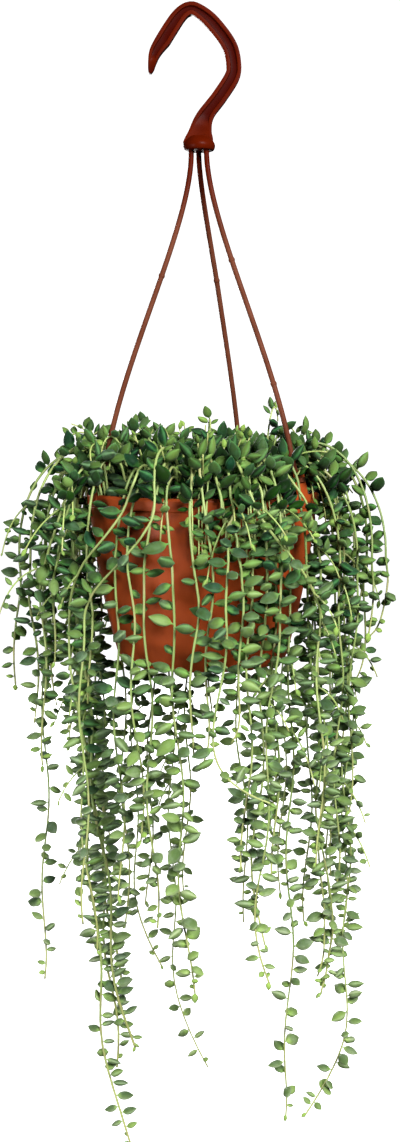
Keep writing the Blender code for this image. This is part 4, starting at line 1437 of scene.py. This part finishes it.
class Shader:
    """A node material that is put together call by call."""

    def __init__(self, name):
        self.material = bpy.data.materials.new(name)
        self.material.use_nodes = True
        self.nodes = self.material.node_tree.nodes
        self.links = self.material.node_tree.links
        self.surface = self.nodes["Principled BSDF"]

    def put(self, node, index, value):
        """Links a socket, or sets it to a number, or to a colour of three parts."""
        socket = node.inputs[index]
        if isinstance(value, bpy.types.NodeSocket):
            self.links.new(value, socket)
        else:
            socket.default_value = (*value, 1.0) if socket.type == "RGBA" else value

    def set(self, **values):
        for key, value in values.items():
            self.put(self.surface, key.replace("_", " "), value)

    def fed(self, node, inputs):
        """The outputs of a node once it has these inputs."""
        for key, value in inputs.items():
            self.put(node, key, value)
        return node.outputs

    def maths(self, operation, *values):
        node = self.nodes.new("ShaderNodeMath")
        node.operation = operation
        return self.fed(node, dict(enumerate(values)))[0]

    def span(self, *values):
        """A value eased from between two limits to between two others, or 0 and 1."""
        node = self.nodes.new("ShaderNodeMapRange")
        node.interpolation_type = "SMOOTHSTEP"
        return self.fed(node, dict(enumerate(values)))[0]

    def mix(self, factor, first, second, blend="MIX"):
        node = self.nodes.new("ShaderNodeMix")
        node.data_type = "RGBA"
        node.blend_type = blend
        return self.fed(node, {0: factor, 6: first, 7: second})[2]

    def place(self):
        return self.nodes.new("ShaderNodeTexCoord").outputs["Object"]

    def noise(self, scale, detail=3.0, rough=0.5):
        node = self.nodes.new("ShaderNodeTexNoise")
        inputs = {"Vector": self.place(), "Scale": scale, "Detail": detail, "Roughness": rough}
        return self.fed(node, inputs)["Fac"]

    def clouds(self, scale, low=0.0, high=1.0, detail=3.0, rough=0.5):
        """Soft patches between two values."""
        return self.span(self.noise(scale, detail, rough), 0.3, 0.7, low, high)

    def cover(self, colour, roughness, grain, strength, depth):
        """The surface's colour, roughness and fine relief."""
        self.set(Base_Color=colour, Roughness=roughness)
        bump = self.nodes.new("ShaderNodeBump")
        inputs = {"Strength": strength, "Distance": depth, "Height": grain}
        self.set(Normal=self.fed(bump, inputs)["Normal"])

    def look(self):
        """The parts of the plant's attribute: tint, share along, youth and face."""
        found = self.nodes.new("ShaderNodeAttribute")
        found.attribute_name = "look"
        parts = self.nodes.new("ShaderNodeSeparateColor")
        parts = self.fed(parts, {0: found.outputs["Color"]})
        return parts[0], parts[1], parts[2], found.outputs["Alpha"]


def leaf_finish():
    """Waxy grey-green leaves: darker in the middle, paler at the edges, yellow-green when young,
    with painted shade.
    """
    shader = Shader("leaf_skin")
    tint, share, young, face = shader.look()
    light = shader.maths("MULTIPLY", shader.maths("SUBTRACT", tint, SHADED), 1 / (1 - SHADED))
    body = shader.mix(light, (0.001, 0.019, 0.006), (0.092, 0.142, 0.052))
    off_centre = shader.maths("ABSOLUTE", shader.maths("SUBTRACT", face, 0.5))
    bloom = shader.span(shader.noise(160.0, 4.0, 0.6), 0.38, 0.72, 0.0, 0.7)
    window = shader.maths("MULTIPLY", shader.span(face, 0.80, 1.0), 0.5)
    edge = shader.span(off_centre, 0.26, 0.04, 0.0, 0.6)
    foot = shader.span(share, 0.34, 0.10, 0.0, 0.7)
    point = shader.span(share, 0.88, 1.0, 0.0, 0.5)
    layers = (
        (bloom, (0.009, 0.055, 0.028), (0.230, 0.272, 0.188)),
        (window, (0.008, 0.036, 0.018), (0.008, 0.036, 0.018)),
        (edge, (0.036, 0.150, 0.046), (0.340, 0.385, 0.250)),
        (foot, (0.060, 0.190, 0.035), (0.250, 0.360, 0.095)),
        (point, (0.070, 0.130, 0.055), (0.220, 0.280, 0.110)),
    )
    for factor, dark, pale in layers:
        body = shader.mix(factor, body, shader.mix(light, dark, pale))
    body = shader.mix(shader.maths("MULTIPLY", young, 0.85), body, (0.235, 0.360, 0.070))
    # Painted shade: leaves whose tint lies in the shaded range are multiplied darker.
    shade = shader.span(tint, SHADED, 0.0)
    body = shader.mix(shade, body, (0.05, 0.17, 0.025), "MULTIPLY")
    shader.cover(body, shader.clouds(300.0, 0.46, 0.62), shader.noise(420.0), 0.12, 0.0006)
    shader.set(Specular_IOR_Level=0.05, Sheen_Weight=0.04, Sheen_Roughness=0.5)
    shader.set(Subsurface_Weight=0.06, Subsurface_Scale=0.002, Subsurface_Radius=(0.5, 1.0, 0.3))
    return shader.material


def stem_finish():
    """Fleshy yellow-green stems that turn tan in places, and brownish near the tip."""
    shader = Shader("stem_skin")
    tint, share, young = shader.look()[:3]
    body = shader.mix(tint, (0.130, 0.195, 0.050), (0.250, 0.320, 0.100))
    tan = shader.span(shader.noise(45.0), 0.50, 0.72, 0.0, 0.5)
    body = shader.mix(tan, body, (0.300, 0.240, 0.120))
    body = shader.mix(shader.span(share, 0.72, 1.0, 0.0, 0.5), body, (0.300, 0.230, 0.120))
    body = shader.mix(shader.maths("MULTIPLY", young, 0.3), body, (0.360, 0.470, 0.110))
    shader.cover(body, 0.5, shader.noise(700.0, 2.0), 0.15, 0.0004)
    shader.set(Specular_IOR_Level=0.4)
    return shader.material


def pot_finish():
    """Thin terracotta plastic with a satin face, faint clouding and fine moulding grain."""
    shader = Shader("pot_plastic_skin")
    cloud = shader.clouds(22.0, 0.0, 1.0, 4.0, 0.6)
    body = shader.mix(cloud, (0.215, 0.034, 0.0060), (0.260, 0.043, 0.0085))
    speck = shader.span(shader.noise(900.0, 2.0), 0.62, 0.75, 0.0, 0.25)
    body = shader.mix(speck, body, (0.330, 0.070, 0.020))
    shader.cover(body, shader.clouds(60.0, 0.40, 0.52), shader.noise(1300.0, 2.0), 0.10, 0.0003)
    shader.set(Specular_IOR_Level=0.12)
    return shader.material


def hanger_finish():
    """Dark red-brown plastic with painted shade in the hook's channels, so that the ridges look
    paler, and paler on the arms.
    """
    shader = Shader("hanger_plastic_skin")
    cloud = shader.clouds(60.0)
    ridge = shader.mix(cloud, (0.041, 0.0026, 0.0001), (0.057, 0.0043, 0.0004))
    # Painted shade: the plastic is darkened where it lies nearer the middle than the ridges, in the
    # channels.
    split = shader.nodes.new("ShaderNodeSeparateXYZ")
    split = shader.fed(split, {0: shader.place()})
    deep = HOOK_DEPTH / 2 * MM
    out = shader.maths("ABSOLUTE", split[1])
    out = shader.span(out, deep - CHANNEL_DEPTH * MM, deep * 0.97)
    body = shader.mix(out, (0.025, 0.0011, 0.0002), ridge)
    arms = shader.mix(cloud, (0.070, 0.019, 0.009), (0.094, 0.029, 0.015))
    body = shader.mix(shader.span(split[2], ARM_DARK_Z * MM, ARM_PALE_Z * MM), body, arms)
    shader.cover(body, shader.clouds(90.0, 0.30, 0.42), shader.noise(500.0, 2.0), 0.06, 0.0003)
    shader.set(Specular_IOR_Level=0.02)
    return shader.material


def soil_finish():
    """Damp dark peat with a few light grains."""
    shader = Shader("peat_skin")
    body = shader.mix(shader.noise(120.0, 6.0, 0.7), (0.012, 0.008, 0.005), (0.075, 0.045, 0.026))
    grain = shader.span(shader.noise(380.0, 1.0), 0.70, 0.74)
    body = shader.mix(grain, body, (0.50, 0.47, 0.42))
    shader.cover(body, 0.95, shader.noise(330.0, 5.0, 0.7), 0.9, 0.002)
    return shader.material


def backdrop_finish():
    """Evenly lit white paper."""
    shader = Shader("white_sweep")
    shader.set(Base_Color=(0.8, 0.8, 0.8), Roughness=1.0, Specular_IOR_Level=0.0)
    shader.set(Emission_Color=(1, 1, 1), Emission_Strength=1.0)
    return shader.material


# Stage


def make_camera():
    data = bpy.data.cameras.new("camera")
    data.lens = CAMERA_LENS
    data.sensor_width = SENSOR
    data.clip_start = 0.01
    data.clip_end = 50.0
    camera = linked("camera", data)
    camera.location = CAMERA_PLACE
    camera.rotation_euler = (math.pi / 2 - CAMERA_DOWN, 0, 0)
    bpy.context.scene.camera = camera


def add_light(name, place, aim, size, power):
    data = bpy.data.lights.new(name, "AREA")
    data.shape = "DISK"
    data.size = size
    data.energy = power
    lamp = linked(name, data)
    lamp.location = place
    lamp.rotation_euler = (Vector(aim) - Vector(place)).to_track_quat("-Z", "Y").to_euler()


def make_room(finish):
    """A round white room with the floor under the lowest tips, lit for the camera alone."""
    outline = ((0.02, FLOOR_HEIGHT), (ROOM_RADIUS, FLOOR_HEIGHT), (ROOM_RADIUS, ROOM_TOP))
    outline = [(r / MM, z / MM) for r, z in (*outline, (0.02, ROOM_TOP))]
    room = object_of(revolve(outline, 64), "floor_and_sweep", finish)
    room.visible_diffuse = False
    room.visible_glossy = False
    room.visible_transmission = False
    room.visible_shadow = False


def make_stage():
    make_room(backdrop_finish())
    world = bpy.data.worlds.new("studio")
    world.use_nodes = True
    background = world.node_tree.nodes["Background"]
    background.inputs[0].default_value = (1, 1, 1, 1)
    background.inputs[1].default_value = WORLD_LIGHT
    bpy.context.scene.world = world
    bpy.context.scene.view_settings.view_transform = "Standard"
    for lamp in LAMPS:
        add_light(*lamp)


def main():
    make_camera()
    make_stage()
    make_pot(pot_finish())
    make_hanger(hanger_finish())
    make_soil(soil_finish())
    draw = random.Random(SEED)
    routes = [finer(route) for route in spread([strand_route(strand, draw) for strand in STRANDS])]
    space = Space()
    hanger_space(space)
    finishes = [leaf_finish(), stem_finish()]
    greens = strand_stems(routes, space, draw)
    crown, crown_routes = crown_stems(space, draw)
    clothe_strands(greens, routes, finishes)
    clothe_crown(crown, crown_routes, finishes)


main()
